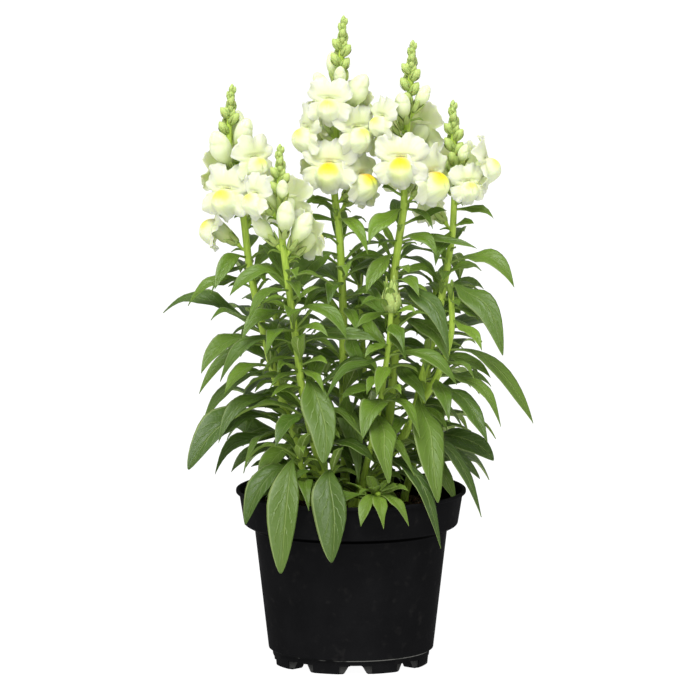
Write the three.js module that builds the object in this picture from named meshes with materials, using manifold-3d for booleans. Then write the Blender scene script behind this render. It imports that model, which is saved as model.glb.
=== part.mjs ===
// A white snapdragon in a black nursery pot: five flowering stems with leafy shoots between them.
// Millimetres, +Z up. The origin is on the floor under the middle of the pot; the front faces -Y.
import * as THREE from "three";
import { mergeVertices } from "three/addons/utils/BufferGeometryUtils.js";
import Module from "manifold-3d";

// ---- Driving dimensions -------------------------------------------------------------------------
const RIM_RADIUS = 60;
const LIP = 1.7;
const POT_HEIGHT = 91.5;
const POT_SIDES = 32;
const FOOT_RADIUS = 40.3;
const FOOT_HOLLOW_RADIUS = 32;
const FOOT_HEIGHT = 4.7;
const FLOOR_UNDERSIDE = 4.1;
const FLOOR_TOP = 6.2;
const FLOOR_RADIUS = 39.7;
const WALL = 1.4;
const NOTCH_COUNT = 8;
const FRONT_NOTCH = -86.5;
const NOTCH_WIDTH = 7.6;
const NOTCH_FLARE = 13;
const DRAIN_INNER_RADIUS = 26;
const DRAIN_WIDTH = 5.3;
const COLLAR_RADIUS = 55.7;
const COLLAR_FOOT = 73.4;
const BODY_RADIUS = 50.2;
const BODY_TOP = 70.5;
const SHOULDER_RADIUS = 42.9;
const SHOULDER_HEIGHT = 8;

const SOIL_HEIGHT = 82;
const SOIL_SIDES = 16;
const SOIL_ROUGHNESS = 1.3;
const SOIL_RING_RADII = [38, 19];
const HOLE_PLAY = 0.45;
const SEAT_GAP = 0.35;
const STEM_FOOT = SOIL_HEIGHT - 18;
// A stem leaves the soil upright and leans from here on.
const STEM_FOOT_TOP = SOIL_HEIGHT + 2;

const STEM_SIDES = 6;
const LEAF_THICKNESS = 1.3;
const LEAF_FOLD = 0.28;
const PETIOLE_HALF_WIDTH = 0.9;
// A blade is broadest where t to this power is a half, and its outline is a sine to the second.
const LEAF_BROADEST = 1.12;
const LEAF_FULLNESS = 0.85;
const LARGE_LEAF_WIDTH = 11.5;
const LARGE_LEAF_STATIONS = [0, 0.2, 0.5, 0.8, 1];
const SMALL_LEAF_STATIONS = [0, 0.3, 0.7, 1];

const STALK_RADIUS = 0.8;
const CALYX_DEPTH = 0.85;
const CALYX_RADIUS = 3.6;
const CALYX_SIDES = 5;
const BUD_SIDES = 5;
const TUBE_START = 9.2;
const TUBE_LENGTH = 12.8;
const TUBE_BASE_RADIUS = 1.5;
const TUBE_RISE = 38;
const FACE_RISE = 14;
const THROAT_RADIUS = 4.5;
const PETAL_THICKNESS = 1;
const PALATE_DEPTH = 6.6;
const PALATE_DROP = 3;
const PALATE_SWELL = 1.4;
// Lobes of the corolla: direction round the throat (90 is up), half angle, length beyond the throat.
const LOBES = [
  [54, 44, 11],
  [126, 44, 11],
  [-33, 29, 9],
  [213, 29, 9],
  [270, 30, 9],
];
const LOBE_GAP = 0.6;
const LIMB_ANGLES = [8, 33, 62, 90, 118, 147, 172, 208, 243, 270, 297, 332];

const BUD_START = 8.2;
// A white bud's radius along it, both as shares of its length.
const BUD_PROFILE = [[0, 0.07], [0.3, 0.17], [0.65, 0.21], [0.92, 0.13]];
const TIP_BUD_COUNT = 7;
const TIP_BUD_SPACING = 3.2;

const GOLDEN_ANGLE = 137.5;
const LEAF_CLEARANCE = 2.6;
const BLOOM_CLEARANCE = 1.7;
const BUD_CLEARANCE = 0.9;
const RIM_CLEARANCE = 3.2;
const CROWN_DEPTH = 71;
// The draws that vary the leaves and the soil.
let randomState = 20417;

// ---- The plant ----------------------------------------------------------------------------------
// A route runs from the soil to the top. A leaf is [root height, tip x, tip y, tip z, width, arch,
// roll towards the front]. A flower is [height of its face, direction, size], where 0 is +X and -90
// is the front. A white bud is [height of its middle, direction, length, rise]. The further leaves
// follow a rule: [lowest, highest, how many, longest, first direction].
const STEMS = [
  {
    name: "flowering_stem_1",
    routes: [
      [[-9, 2, 84], [-17, 2, 98], [-31, 3, 122], [-41, 5, 154], [-48, 6, 184], [-53, 7, 207],
        [-56, 8, 235], [-60, 8, 251], [-64, 8, 274], [-62, 8, 299]],
    ],
    radius: [2.5, 1.5],
    leaves: [
      [172, -98, 10, 185, 13, 8, 40], [178, -73, -14, 184, 9, 3, 30], [167, -78, -24, 156, 12, 9, 20],
      [166, -82, -4, 148, 8, 8, 25], [154, -79, -2, 122, 9, 7, 25], [138, -73, -22, 124, 10, 10, 25],
      [123, -80, -34, 110, 16, 14, 45], [122, -56, -26, 105, 9, 8, -20], [146, -54, -8, 142, 6, 3, 20],
      [117, -71, -10, 103, 10, 8, 20], [212, -80, -6, 208, 9, 6, 40], [209, -72, -14, 205, 7, 3, 20],
      [200, -85, -2, 191, 10, 6, 35], [210, -36, -6, 214, 7, 5, 30],
    ],
    flowers: [[247, -123, 1], [264, -50, 0.9], [229, -165, 1], [240, 60, 1], [256, 130, 0.9]],
    buds: [[264, -155, 23, 62], [272, -80, 19, 66], [277, -10, 13, 60], [274, 95, 18, 64]],
    spread: [100, 235, 16, 42, 100],
  },
  {
    name: "flowering_stem_2",
    routes: [
      [[-12, -16, 84], [-15, -18, 103], [-21, -21, 126], [-26, -23, 150], [-28, -25, 170],
        [-32, -27, 199], [-36, -28, 229], [-37, -28, 251], [-37, -28, 273]],
    ],
    radius: [2.4, 1.5],
    leaves: [
      [171, -68, -45, 156, 12, 12, 20], [188, -55, -42, 173, 10, 6, 20], [188, -2, -40, 178, 10, 9, 25],
      [204, -63, -36, 202, 10, 8, 35], [154, -14, -54, 115, 17, 9, 0], [160, -12, -38, 165, 7, 2, 30],
      [157, -42, -42, 152, 7, 2, 10], [171, 12, -38, 176, 10, 4, 35], [195, -24, -36, 199, 6, 1, 20],
      [195, -42, -38, 197, 6, 2, 20],
    ],
    flowers: [[250, -150, 0.85], [244, 80, 0.95], [230, 35, 0.9]],
    buds: [
      [233, 180, 17, 50], [237, -120, 20, 66], [248, -90, 13, 66], [239, -35, 20, 62], [251, 120, 15, 66],
    ],
    spread: [100, 220, 13, 40, 200],
  },
  {
    name: "flowering_stem_3",
    routes: [
      [[-3, 12, 84], [-3, 12, 97], [-4, 11, 136], [-4, 10, 185], [-6, 10, 226], [-9, 10, 247],
        [-7, 9, 290], [-4, 8, 335]],
    ],
    radius: [2.6, 1.5],
    leaves: [
      [141, 4, -32, 103, 12, 12, 0], [171, 5, -22, 152, 9, 5, 10], [222, -32, 22, 214, 8, 4, 30],
      [213, -30, -12, 194, 14, 9, 30], [241, -25, -2, 243, 6, 2, 35], [238, -30, 14, 244, 6, 2, 35],
      [231, -25, 0, 232, 7, 2, 30], [191, -25, -8, 189, 9, 3, 30], [190, 13, -4, 194, 8, 3, 30],
      [185, 3, -14, 177, 8, 3, 10], [231, 9, -12, 218, 9, 8, 25],
    ],
    flowers: [
      [295, -105, 0.85], [278, -155, 0.95], [264, -130, 1], [279, -70, 0.95], [257, -58, 1],
      [251, 25, 0.9], [290, 28, 0.85], [262, 110, 0.95], [278, 120, 0.85],
    ],
    buds: [[303, -165, 16, 60], [308, -90, 13, 66], [299, -20, 23, 60], [306, 100, 16, 62]],
    spread: [100, 245, 18, 42, 40],
  },
  {
    name: "flowering_stem_4",
    routes: [
      [[14, 12, 84], [17, 12, 99], [21, 11, 136], [24, 9, 174], [22, 5, 200], [25, 3, 223],
        [28, 2, 241], [27, 2, 257], [30, 2, 291], [32, 2, 323]],
    ],
    radius: [2.6, 1.5],
    leaves: [
      [239, 9, -18, 224, 12, 3, 25], [239, 34, -16, 227, 6, 2, 10], [222, 12, -10, 221, 6, 1, 20],
      [215, 8, -12, 197, 10, 3, 25], [222, 45, -14, 217, 9, 6, 30], [230, 47, -6, 242, 6, 1, 25],
      [221, 52, -26, 234, 6, 2, 30], [245, 16, -10, 252, 6, 1, 25], [210, 43, 22, 214, 9, 4, 30],
      [203, 43, 4, 206, 8, 4, 30], [206, 32, -10, 200, 7, 2, 15], [196, 51, -30, 172, 12, 13, 25],
      [190, 49, 24, 169, 14, 5, -25], [180, 55, -20, 165, 13, 5, 20], [155, 44, -24, 142, 9, 5, 10],
    ],
    flowers: [
      [286, -172, 0.8], [271, -127, 1], [262, -36, 1.1], [278, 58, 1], [262, 100, 1], [274, 150, 0.85],
    ],
    buds: [[291, -105, 17, 62], [292, -25, 14, 60], [295, 110, 16, 62]],
    spread: [100, 240, 16, 42, 300],
  },
  {
    name: "flowering_stem_5",
    routes: [
      [[1, -3, 84], [11, -4, 98], [27, -4, 118], [34, -2, 134], [37, 0, 149], [44, 6, 174],
        [49, 10, 200], [53, 11, 224], [54, 12, 247], [53, 12, 290]],
      [[34, -2, 134], [43, -6, 147], [49, -8, 161], [53, -8, 177], [52, -8, 196]],
    ],
    radius: [2.6, 1.5],
    leaves: [
      [226, 43, -8, 213, 9, 2, 15], [237, 68, -4, 240, 7, 2, 30], [228, 64, 4, 231, 7, 1, 30],
      [204, 38, -4, 203, 8, 2, 25], [208, 85, -10, 202, 12, 9, 35], [203, 68, 20, 205, 8, 3, 30],
      [197, 79, -24, 169, 14, 13, 25], [142, 45, -50, 97, 17, 8, 0], [122, 68, -20, 81, 11, 12, 25],
    ],
    branchLeaves: [
      [191, 62, -16, 196, 6, 1, 25], [189, 71, -22, 186, 9, 2, 25], [182, 69, -30, 173, 9, 2, 20],
      [166, 95, -10, 132, 12, 10, 30], [154, 78, -28, 132, 11, 7, 20], [145, 71, -34, 124, 12, 6, 20],
      [160, 64, -30, 157, 8, 2, 20], [150, 60, -38, 129, 11, 5, 10],
    ],
    flowers: [[261, -8, 0.95], [248, -60, 0.75], [254, 75, 1], [244, 140, 0.85]],
    buds: [[267, -50, 12, 60], [270, 60, 15, 62]],
    spread: [105, 240, 14, 42, 0],
  },
  {
    name: "leafy_shoot_1",
    routes: [[[5, -15, 84], [7, -16, 102], [10, -18, 115], [15, -20, 139], [20, -22, 173], [21, -22, 194]]],
    radius: [1.9, 1.3],
    leaves: [
      [165, 55, -36, 154, 12, 7, 30], [188, 3, -34, 183, 7, 1, 15], [188, 32, -30, 193, 6, 1, 20],
      [177, 31, -38, 166, 8, 2, 10], [171, 7, -36, 168, 7, 2, 20], [164, -15, -48, 152, 9, 7, 30],
      [140, 36, -42, 126, 9, 8, 20], [135, 19, -60, 103, 15.5, 7, 0], [115, 37, -70, 82, 12, 14, 10],
      [122, 33, -46, 108, 9, 6, 15],
    ],
    crest: [
      [190, 17, -25, 206, 6, 1, 10], [190, 25, -24, 205, 6, 1, 10], [189, 21, -29, 203, 6, 1, 10],
      [189, 21, -16, 204, 6, 1, 10],
    ],
    spread: [95, 160, 4, 38, 150],
  },
  {
    name: "leafy_shoot_2",
    routes: [[[8, -26, 84], [12, -42, 94], [14, -55, 98]]],
    radius: [1.8, 1.4],
    leaves: [],
    crest: [
      [97, 30, -66, 85, 9, 4, 10], [97, 17, -72, 84, 9, 4, 0], [96, 12, -64, 104, 8, 1, 0],
      [96, 5, -71, 84, 9, 5, 0], [95, 4, -58, 98, 7, 3, 0], [96, 24, -60, 103, 8, 1, 10],
      [93, 30, -52, 99, 8, 2, 10], [94, 9, -50, 107, 8, 1, 0],
    ],
  },
  {
    name: "leafy_shoot_3",
    routes: [
      [[-20, -22, 84], [-24, -28, 100], [-27, -33, 114]],
      [[-21, -23, 88], [-13, -33, 99], [-10, -38, 106]],
    ],
    radius: [1.9, 1.4],
    leaves: [
      [110, -31, -71, 61, 16, 21, 0], [104, -55, -46, 82, 14, 13, 15], [112, -45, -50, 101, 9, 8, 10],
      [112, -22, -44, 128, 8, 2, 0], [113, -38, -36, 126, 8, 2, 0],
    ],
    branchLeaves: [
      [103, -10, -70, 68, 18, 18, 0], [100, -24, -62, 86, 8, 12, 0], [104, -2, -50, 116, 8, 3, 0],
    ],
  },
  {
    name: "leafy_shoot_4",
    routes: [[[-26, 22, 84], [-34, 34, 120], [-40, 38, 182]]],
    radius: [2.1, 1.2],
    leaves: [],
    spread: [94, 180, 18, 46, 90],
  },
  {
    name: "leafy_shoot_5",
    routes: [[[4, 32, 84], [8, 40, 125], [4, 42, 204]]],
    radius: [2.1, 1.2],
    leaves: [[118, 6, 71, 96, 11, 10, 0], [150, -14, 69, 140, 11, 9, 0], [138, 30, 68, 122, 11, 9, 0]],
    spread: [94, 200, 19, 46, 60],
  },
  {
    name: "leafy_shoot_6",
    routes: [[[28, 20, 84], [38, 30, 120], [44, 36, 192]]],
    radius: [2.1, 1.2],
    leaves: [],
    spread: [94, 190, 17, 46, 30],
  },
];
// How far left and right the leaves that follow the rule may reach, by height.
const CROWN = [[80, -72, 80], [120, -78, 90], [150, -80, 88], [185, -72, 72], [215, -60, 62], [245, -50, 56]];

// ---- Solids -------------------------------------------------------------------------------------
const wasm = await Module();
wasm.setup();

const vector = (x, y, z) => new THREE.Vector3(x, y, z);
const radians = THREE.MathUtils.degToRad;
const lerp = THREE.MathUtils.lerp;
const clamp = THREE.MathUtils.clamp;
const UP = vector(0, 0, 1);

function solid(geometry) {
  const bare = geometry.clone();
  bare.deleteAttribute("normal");
  bare.deleteAttribute("uv");
  const merged = mergeVertices(bare, 1e-4);
  return new wasm.Manifold(
    new wasm.Mesh({
      numProp: 3,
      vertProperties: merged.attributes.position.array,
      triVerts: new Uint32Array(merged.index.array),
    }),
  );
}

// Solids grown into one body: a hollow that they seal is filled, and a loose scrap is dropped.
function fuse(solids) {
  const bodies = wasm.Manifold.union(solids).decompose();
  return bodies.reduce((most, body) => (body.volume() > most.volume() ? body : most));
}

// A closed skin over rings of points, wound to the right about the way it runs; a ring of one point
// ends it. Each strip's diagonals turn over from quad to quad, so both faces of a blade split alike.
function loft(rings) {
  const points = rings.flat();
  const faces = [];
  const count = Math.max(...rings.map((each) => each.length));
  let start = 0;
  const flatEnd = (first, reversed) => {
    for (let i = 1; i < count - 1; i++) {
      faces.push(first, first + (reversed ? i + 1 : i), first + (reversed ? i : i + 1));
    }
  };
  if (rings[0].length > 1) flatEnd(0, true);
  for (let k = 0; k < rings.length - 1; k++) {
    const low = start;
    const high = start + rings[k].length;
    for (let i = 0; i < count; i++) {
      const j = (i + 1) % count;
      if (rings[k].length === 1) {
        faces.push(low, high + j, high + i);
      } else if (rings[k + 1].length === 1) {
        faces.push(low + i, low + j, high);
      } else if ((i + k) % 2 === 0) {
        faces.push(low + i, low + j, high + i, low + j, high + j, high + i);
      } else {
        faces.push(low + i, low + j, high + j, low + i, high + j, high + i);
      }
    }
    start = high;
  }
  if (rings.at(-1).length > 1) flatEnd(start, false);
  const geometry = new THREE.BufferGeometry();
  geometry.setAttribute(
    "position",
    new THREE.Float32BufferAttribute(points.flatMap((p) => [p.x, p.y, p.z]), 3),
  );
  geometry.setIndex(faces);
  return solid(geometry);
}

// A ring of points round a centre, square to an axis.
function ring(centre, axis, radius, sides) {
  const across = vector(1, 0, 0).cross(axis).normalize();
  const beside = axis.clone().cross(across);
  return Array.from({ length: sides }, (_, i) => {
    const turn = (2 * Math.PI * i) / sides;
    return centre
      .clone()
      .addScaledVector(across, radius * Math.cos(turn))
      .addScaledVector(beside, radius * Math.sin(turn));
  });
}

function direction(turn, rise) {
  return vector(
    Math.cos(radians(turn)) * Math.cos(radians(rise)),
    Math.sin(radians(turn)) * Math.cos(radians(rise)),
    Math.sin(radians(rise)),
  );
}

// ---- Stems --------------------------------------------------------------------------------------
function pointAtHeight(route, height) {
  const last = route.length - 2;
  let k = 0;
  while (k < last && route[k + 1][2] < height) k++;
  const low = vector(...route[k]);
  const high = vector(...route[k + 1]);
  return low.lerp(high, (height - low.z) / (high.z - low.z));
}

function stemSolid(route, [footRadius, topRadius], rooted) {
  const points = route.map((p) => vector(...p));
  const rings = points.map((point, i) => {
    const before = points[Math.max(i - 1, 0)];
    const after = points[Math.min(i + 1, points.length - 1)];
    const axis = i === 0 && rooted ? UP.clone() : after.clone().sub(before).normalize();
    return ring(point, axis, lerp(footRadius, topRadius, i / (points.length - 1)), STEM_SIDES);
  });
  if (rooted) rings.unshift(rings[0].map((p) => p.clone().setZ(STEM_FOOT)));
  const top = points.at(-1);
  const lastAxis = top.clone().sub(points.at(-2)).normalize();
  rings.push([top.clone().addScaledVector(lastAxis, topRadius)]);
  return loft(rings);
}

// ---- Leaves -------------------------------------------------------------------------------------
const outlineAt = (t) => Math.pow(Math.sin(Math.PI * Math.pow(t, LEAF_BROADEST)), LEAF_FULLNESS);

// One blade: a parabola from root to tip, level across at its root and rolled further out, with
// both halves raised from the midrib.
function leafShape(root, tip, width, arch, roll) {
  const reach = tip.clone().sub(root);
  const heading = vector(reach.x, reach.y, 0).normalize();
  const level = vector(heading.y, -heading.x, 0);
  const at = (t) => {
    const middle = root.clone().addScaledVector(reach, t);
    middle.z += 4 * arch * t * (1 - t);
    const along = reach.clone();
    along.z += 4 * arch * (1 - 2 * t);
    along.normalize();
    const rise = level.clone().cross(along);
    const lean = radians(roll) * heading.x * Math.min(1, 2 * t);
    const side = level.clone().multiplyScalar(Math.cos(lean)).addScaledVector(rise, -Math.sin(lean));
    const face = rise.clone().multiplyScalar(Math.cos(lean)).addScaledVector(level, Math.sin(lean));
    const blade = (width / 2) * outlineAt(t);
    const half = Math.max(t < 0.5 ? PETIOLE_HALF_WIDTH : 0, blade);
    return { middle, side, face, half };
  };
  const point = (t, across) => {
    const { middle, side, face, half } = at(t);
    return middle
      .addScaledVector(side, across * half)
      .addScaledVector(face, Math.abs(across) * half * LEAF_FOLD);
  };
  return { at, point, tip, width };
}

// A small leaf has a flat top over its keel; a large one is a thin blade, creased on both faces.
function leafSolid(leaf) {
  const large = leaf.width >= LARGE_LEAF_WIDTH;
  const rings = (large ? LARGE_LEAF_STATIONS : SMALL_LEAF_STATIONS).map((t) => {
    const { middle, side, face, half } = leaf.at(t);
    if (t === 0 || t === 1) return [middle];
    const thick = (LEAF_THICKNESS / 2) * (1 - 0.5 * t);
    const edge = (across) =>
      middle
        .clone()
        .addScaledVector(side, across * half)
        .addScaledVector(face, half * LEAF_FOLD);
    const under = [edge(1), middle.clone().addScaledVector(face, -thick), edge(-1)];
    return large ? [...under, middle.clone().addScaledVector(face, thick)] : under;
  });
  return loft(rings);
}

// ---- Flowers ------------------------------------------------------------------------------------
function lobeReach(angle) {
  let reach = LOBE_GAP;
  for (const [middle, halfAngle, length] of LOBES) {
    const off = Math.abs(((angle - middle + 540) % 360) - 180) / halfAngle;
    if (off < 1) reach = Math.max(reach, length * Math.sqrt(1 - off * off));
  }
  return reach;
}

// The calyx sits at the end of a stalk; the corolla's tube starts in it and opens in two lips.
function flowerShape(root, turn, size) {
  const axis = direction(turn, TUBE_RISE);
  const forward = direction(turn, FACE_RISE);
  const upward = direction(turn, FACE_RISE + 90);
  const beside = upward.clone().cross(forward);
  const start = root.clone().addScaledVector(axis, TUBE_START);
  const throat = root.clone().addScaledVector(axis, TUBE_START + TUBE_LENGTH * size);
  const limb = (angle, outward, ahead) => {
    const reach = outward * size;
    return throat
      .clone()
      .addScaledVector(beside, reach * Math.cos(radians(angle)))
      .addScaledVector(upward, reach * Math.sin(radians(angle)))
      .addScaledVector(forward, ahead * size);
  };
  return { root, axis, start, throat, limb };
}

function limbRings({ limb }, angles) {
  const lower = (angle) => (angle > 180 ? 1 : 0);
  const half = (angle) => THROAT_RADIUS + 0.55 * lobeReach(angle);
  const full = (angle) => THROAT_RADIUS + lobeReach(angle);
  const bulge = (angle) => 1.6 + 1.2 * lower(angle);
  const swell = (angle) => PALATE_SWELL * lower(angle);
  return [
    angles.map((a) => limb(a, THROAT_RADIUS, 0)),
    angles.map((a) => limb(a, half(a), bulge(a))),
    angles.map((a) => limb(a, full(a), 0.6 - 2.2 * lower(a))),
    angles.map((a) => limb(a, half(a), bulge(a) + PETAL_THICKNESS)),
    angles.map((a) => limb(a, THROAT_RADIUS - 0.6 + swell(a), 2 + swell(a))),
    [limb(270, PALATE_DROP, PALATE_DEPTH)],
  ];
}

function flowerSolid(flower) {
  const base = LIMB_ANGLES.map((angle) => {
    const across = flower.limb(angle, 1, 0).sub(flower.throat).projectOnPlane(flower.axis).normalize();
    return flower.start.clone().addScaledVector(across, TUBE_BASE_RADIUS);
  });
  return loft([base, ...limbRings(flower, LIMB_ANGLES)]);
}

// A white bud is a closed corolla, blunt at its top.
function budShape(root, turn, length, rise) {
  const axis = direction(turn, rise);
  const start = root.clone().addScaledVector(axis, BUD_START);
  return { root, axis, start, length };
}

function budSolid({ start, axis, length }) {
  const rings = BUD_PROFILE.map(([along, radius]) =>
    ring(start.clone().addScaledVector(axis, along * length), axis, radius * length, BUD_SIDES));
  rings.push([start.clone().addScaledVector(axis, length)]);
  return loft(rings);
}

// A stalk that widens into a cup; what it holds starts above the cup's floor and clear of its rim.
function calyxSolid({ root, axis, start }) {
  const at = (below) => start.clone().addScaledVector(axis, -below);
  return loft([
    ring(root, axis, STALK_RADIUS, CALYX_SIDES),
    ring(at(CALYX_DEPTH + 1.6), axis, 0.75 * CALYX_RADIUS, CALYX_SIDES),
    ring(at(-0.2), axis, CALYX_RADIUS, CALYX_SIDES),
    [at(CALYX_DEPTH)],
  ]);
}

// The green buds that still crowd the top of a flowering stem.
function tipBudShape(route, index) {
  const root = pointAtHeight(route, route.at(-1)[2] - 1 - TIP_BUD_SPACING * index);
  const axis = direction(GOLDEN_ANGLE * index, 64 - 3 * index);
  return { root, axis, length: 6.3 + 0.7 * index };
}

function tipBudSolid({ root, axis, length }) {
  const at = (share) => root.clone().addScaledVector(axis, share * length);
  return loft([[root], ring(at(0.55), axis, 0.28 * length, 4), [at(1)]]);
}

// ---- Placing without touching -------------------------------------------------------------------
// Every placed piece leaves sample points [x, y, z, radius, stem it is part of]. A new piece tries
// its own place first, then small swings away from it, and takes the first that keeps its clearance.
// Its samples near its root (their fifth value is true) aren't held against the stem it grows on.
const placed = [];

function clearance(samples, owner) {
  let least = Infinity;
  for (const [x, y, z, radius, nearRoot] of samples) {
    for (const [otherX, otherY, otherZ, otherRadius, grownBy] of placed) {
      if (nearRoot && grownBy === owner) continue;
      const apart = Math.sqrt((x - otherX) ** 2 + (y - otherY) ** 2 + (z - otherZ) ** 2);
      least = Math.min(least, apart - radius - otherRadius);
    }
  }
  return Math.min(least, potClearance(samples));
}

function potClearance(samples) {
  let least = Infinity;
  for (const [x, y, z] of samples) {
    const out = Math.hypot(x, y);
    const above = out < RIM_RADIUS - 3 ? z - SOIL_HEIGHT : z - POT_HEIGHT;
    const outside = Math.max(above, out - RIM_RADIUS) + LEAF_CLEARANCE - RIM_CLEARANCE;
    least = Math.min(least, outside, CROWN_DEPTH + LEAF_CLEARANCE - Math.abs(y));
  }
  return least;
}

function place(samples) {
  for (const [x, y, z, radius] of samples) placed.push([x, y, z, radius, null]);
}

// The first choice with enough clearance, else the one with the most.
function settle(choices, shapeOf, samplesOf, owner, enough) {
  let best = null;
  for (const choice of choices) {
    const shape = shapeOf(choice);
    const samples = samplesOf(shape);
    const room = clearance(samples, owner);
    if (!best || room > best.room) best = { shape, samples, room };
    if (room >= enough) break;
  }
  return best;
}

const asSample = (point, radius, tag = false) => [point.x, point.y, point.z, radius, tag];

function stemSamples(route, [footRadius, topRadius], owner) {
  const samples = [];
  const foot = route[0][2];
  const top = route.at(-1)[2];
  for (let height = foot; height <= top; height += 3) {
    const radius = lerp(footRadius, topRadius, (height - foot) / (top - foot));
    samples.push(asSample(pointAtHeight(route, height), radius, owner));
  }
  return samples;
}

function leafSamples(leaf) {
  const samples = [];
  for (let i = 2; i <= 10; i++) {
    for (const across of [-1, -0.5, 0, 0.5, 1]) {
      samples.push(asSample(leaf.point(i / 10, across), 0.6, i < 5));
    }
  }
  return samples;
}

function flowerSamples(flower) {
  const rings = limbRings(flower, LIMB_ANGLES);
  const samples = [rings[0], rings[1], rings[2], rings[4]].flat().map((p) => asSample(p, 0.7));
  const stalk = flower.throat.clone().sub(flower.root);
  for (const t of [0.35, 0.5, 0.65, 0.8, 0.95]) {
    samples.push(asSample(flower.root.clone().addScaledVector(stalk, t), 3.2, t < 0.6));
  }
  return samples;
}

function budSamples(bud) {
  const samples = [asSample(bud.root.clone().addScaledVector(bud.axis, 6), 2.6, true)];
  for (const t of [0.05, 0.3, 0.5, 0.7, 0.9]) {
    const radius = 0.2 * bud.length * (t < 0.1 ? 0.8 : 1);
    samples.push(asSample(bud.start.clone().addScaledVector(bud.axis, t * bud.length), radius, t < 0.4));
  }
  return samples;
}

const TURNS = [0, 8, -8, 16, -16, 24, -24, 34, -34];
const LIFTS = [0, 8, -8, 16, -16, 24];
const LIFT_COST = 1.5;
const swingCost = ([turn, lift]) => Math.hypot(turn, LIFT_COST * lift);
const SWINGS = TURNS.flatMap((turn) => LIFTS.map((lift) => [turn, lift]))
  .sort((a, b) => swingCost(a) - swingCost(b));

// A leaf swung about its root: turned about the upright and lifted.
function swungTip(root, tip, [turn, lift]) {
  const reach = tip.clone().sub(root);
  const flat = Math.hypot(reach.x, reach.y);
  const heading = (Math.atan2(reach.y, reach.x) * 180) / Math.PI + turn;
  const rise = (Math.atan2(reach.z, flat) * 180) / Math.PI + lift;
  return root.clone().addScaledVector(direction(heading, rise), reach.length());
}

function random() {
  randomState = (Math.imul(randomState, 1664525) + 1013904223) >>> 0;
  return randomState / 4294967296;
}

function insideCrown(tip) {
  let k = 0;
  while (k < CROWN.length - 2 && CROWN[k + 1][0] < tip.z) k++;
  const [low, lowLeft, lowRight] = CROWN[k];
  const [high, highLeft, highRight] = CROWN[k + 1];
  const t = clamp((tip.z - low) / (high - low), 0, 1);
  const wide = tip.x > lerp(lowLeft, highLeft, t) && tip.x < lerp(lowRight, highRight, t);
  return wide && Math.abs(tip.y) < CROWN_DEPTH;
}

// ---- Building the plant -------------------------------------------------------------------------
const flowers = [];
const whiteBuds = [];

for (const stem of STEMS) {
  stem.leafShapes = [];
  stem.seats = [];
  stem.tipBuds = [];
  for (const route of stem.routes) placed.push(...stemSamples(route, stem.radius, stem.name));
}

for (const stem of STEMS.filter((each) => each.flowers)) {
  for (let i = 0; i < TIP_BUD_COUNT; i++) {
    const bud = tipBudShape(stem.routes[0], i);
    const middle = bud.root.clone().addScaledVector(bud.axis, 0.6 * bud.length);
    place([asSample(middle, 0.3 * bud.length)]);
    stem.tipBuds.push(bud);
  }
}

const BLOOM_TURNS = [0, 8, -8, 16, -16, 24, -24, 32, -32, 40, -40];
const BLOOM_SHIFTS = [0, 3, -3, 6, -6];
const BLOOM_CHOICES = BLOOM_TURNS.flatMap((turn) => BLOOM_SHIFTS.map((shift) => [turn, shift]))
  .sort((a, b) => Math.abs(a[0]) + 3 * Math.abs(a[1]) - Math.abs(b[0]) - 3 * Math.abs(b[1]));

for (const stem of STEMS) {
  const route = stem.routes[0];
  for (const [height, turn, size] of stem.flowers ?? []) {
    const climb = Math.sin(radians(TUBE_RISE)) * (TUBE_START + TUBE_LENGTH * size);
    const found = settle(
      BLOOM_CHOICES,
      ([more, shift]) => flowerShape(pointAtHeight(route, height - climb + shift), turn + more, size),
      flowerSamples,
      stem.name,
      BLOOM_CLEARANCE,
    );
    place(found.samples);
    stem.seats.push(found.shape);
    flowers.push(found.shape);
  }
  for (const [height, turn, length, rise] of stem.buds ?? []) {
    const climb = Math.sin(radians(rise)) * (BUD_START + length / 2);
    const found = settle(
      BLOOM_CHOICES,
      ([more, shift]) => budShape(pointAtHeight(route, height - climb + shift), turn + more, length, rise),
      budSamples,
      stem.name,
      BUD_CLEARANCE,
    );
    place(found.samples);
    stem.seats.push(found.shape);
    whiteBuds.push(found.shape);
  }
}

// The leaves of a tight bud or rosette touch each other, so they come first and as listed.
for (const stem of STEMS) {
  for (const [height, x, y, z, width, arch, roll] of stem.crest ?? []) {
    const root = pointAtHeight(stem.routes[0], height);
    const leaf = leafShape(root, vector(x, y, z), width, arch, roll);
    place(leafSamples(leaf));
    stem.leafShapes.push(leaf);
  }
}

function clearLeaf(stem, root, tip, width, arch, roll) {
  return settle(
    SWINGS,
    (swing) => leafShape(root, swungTip(root, tip, swing), width, arch, roll),
    leafSamples,
    stem.name,
    LEAF_CLEARANCE,
  );
}

for (const stem of STEMS) {
  const rows = [
    ...stem.leaves.map((row) => [stem.routes[0], row]),
    ...(stem.branchLeaves ?? []).map((row) => [stem.routes[1], row]),
  ];
  for (const [route, [height, x, y, z, width, arch, roll]] of rows) {
    const root = pointAtHeight(route, height);
    const found = clearLeaf(stem, root, vector(x, y, z), width, arch, roll);
    place(found.samples);
    stem.leafShapes.push(found.shape);
  }
}

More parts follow.
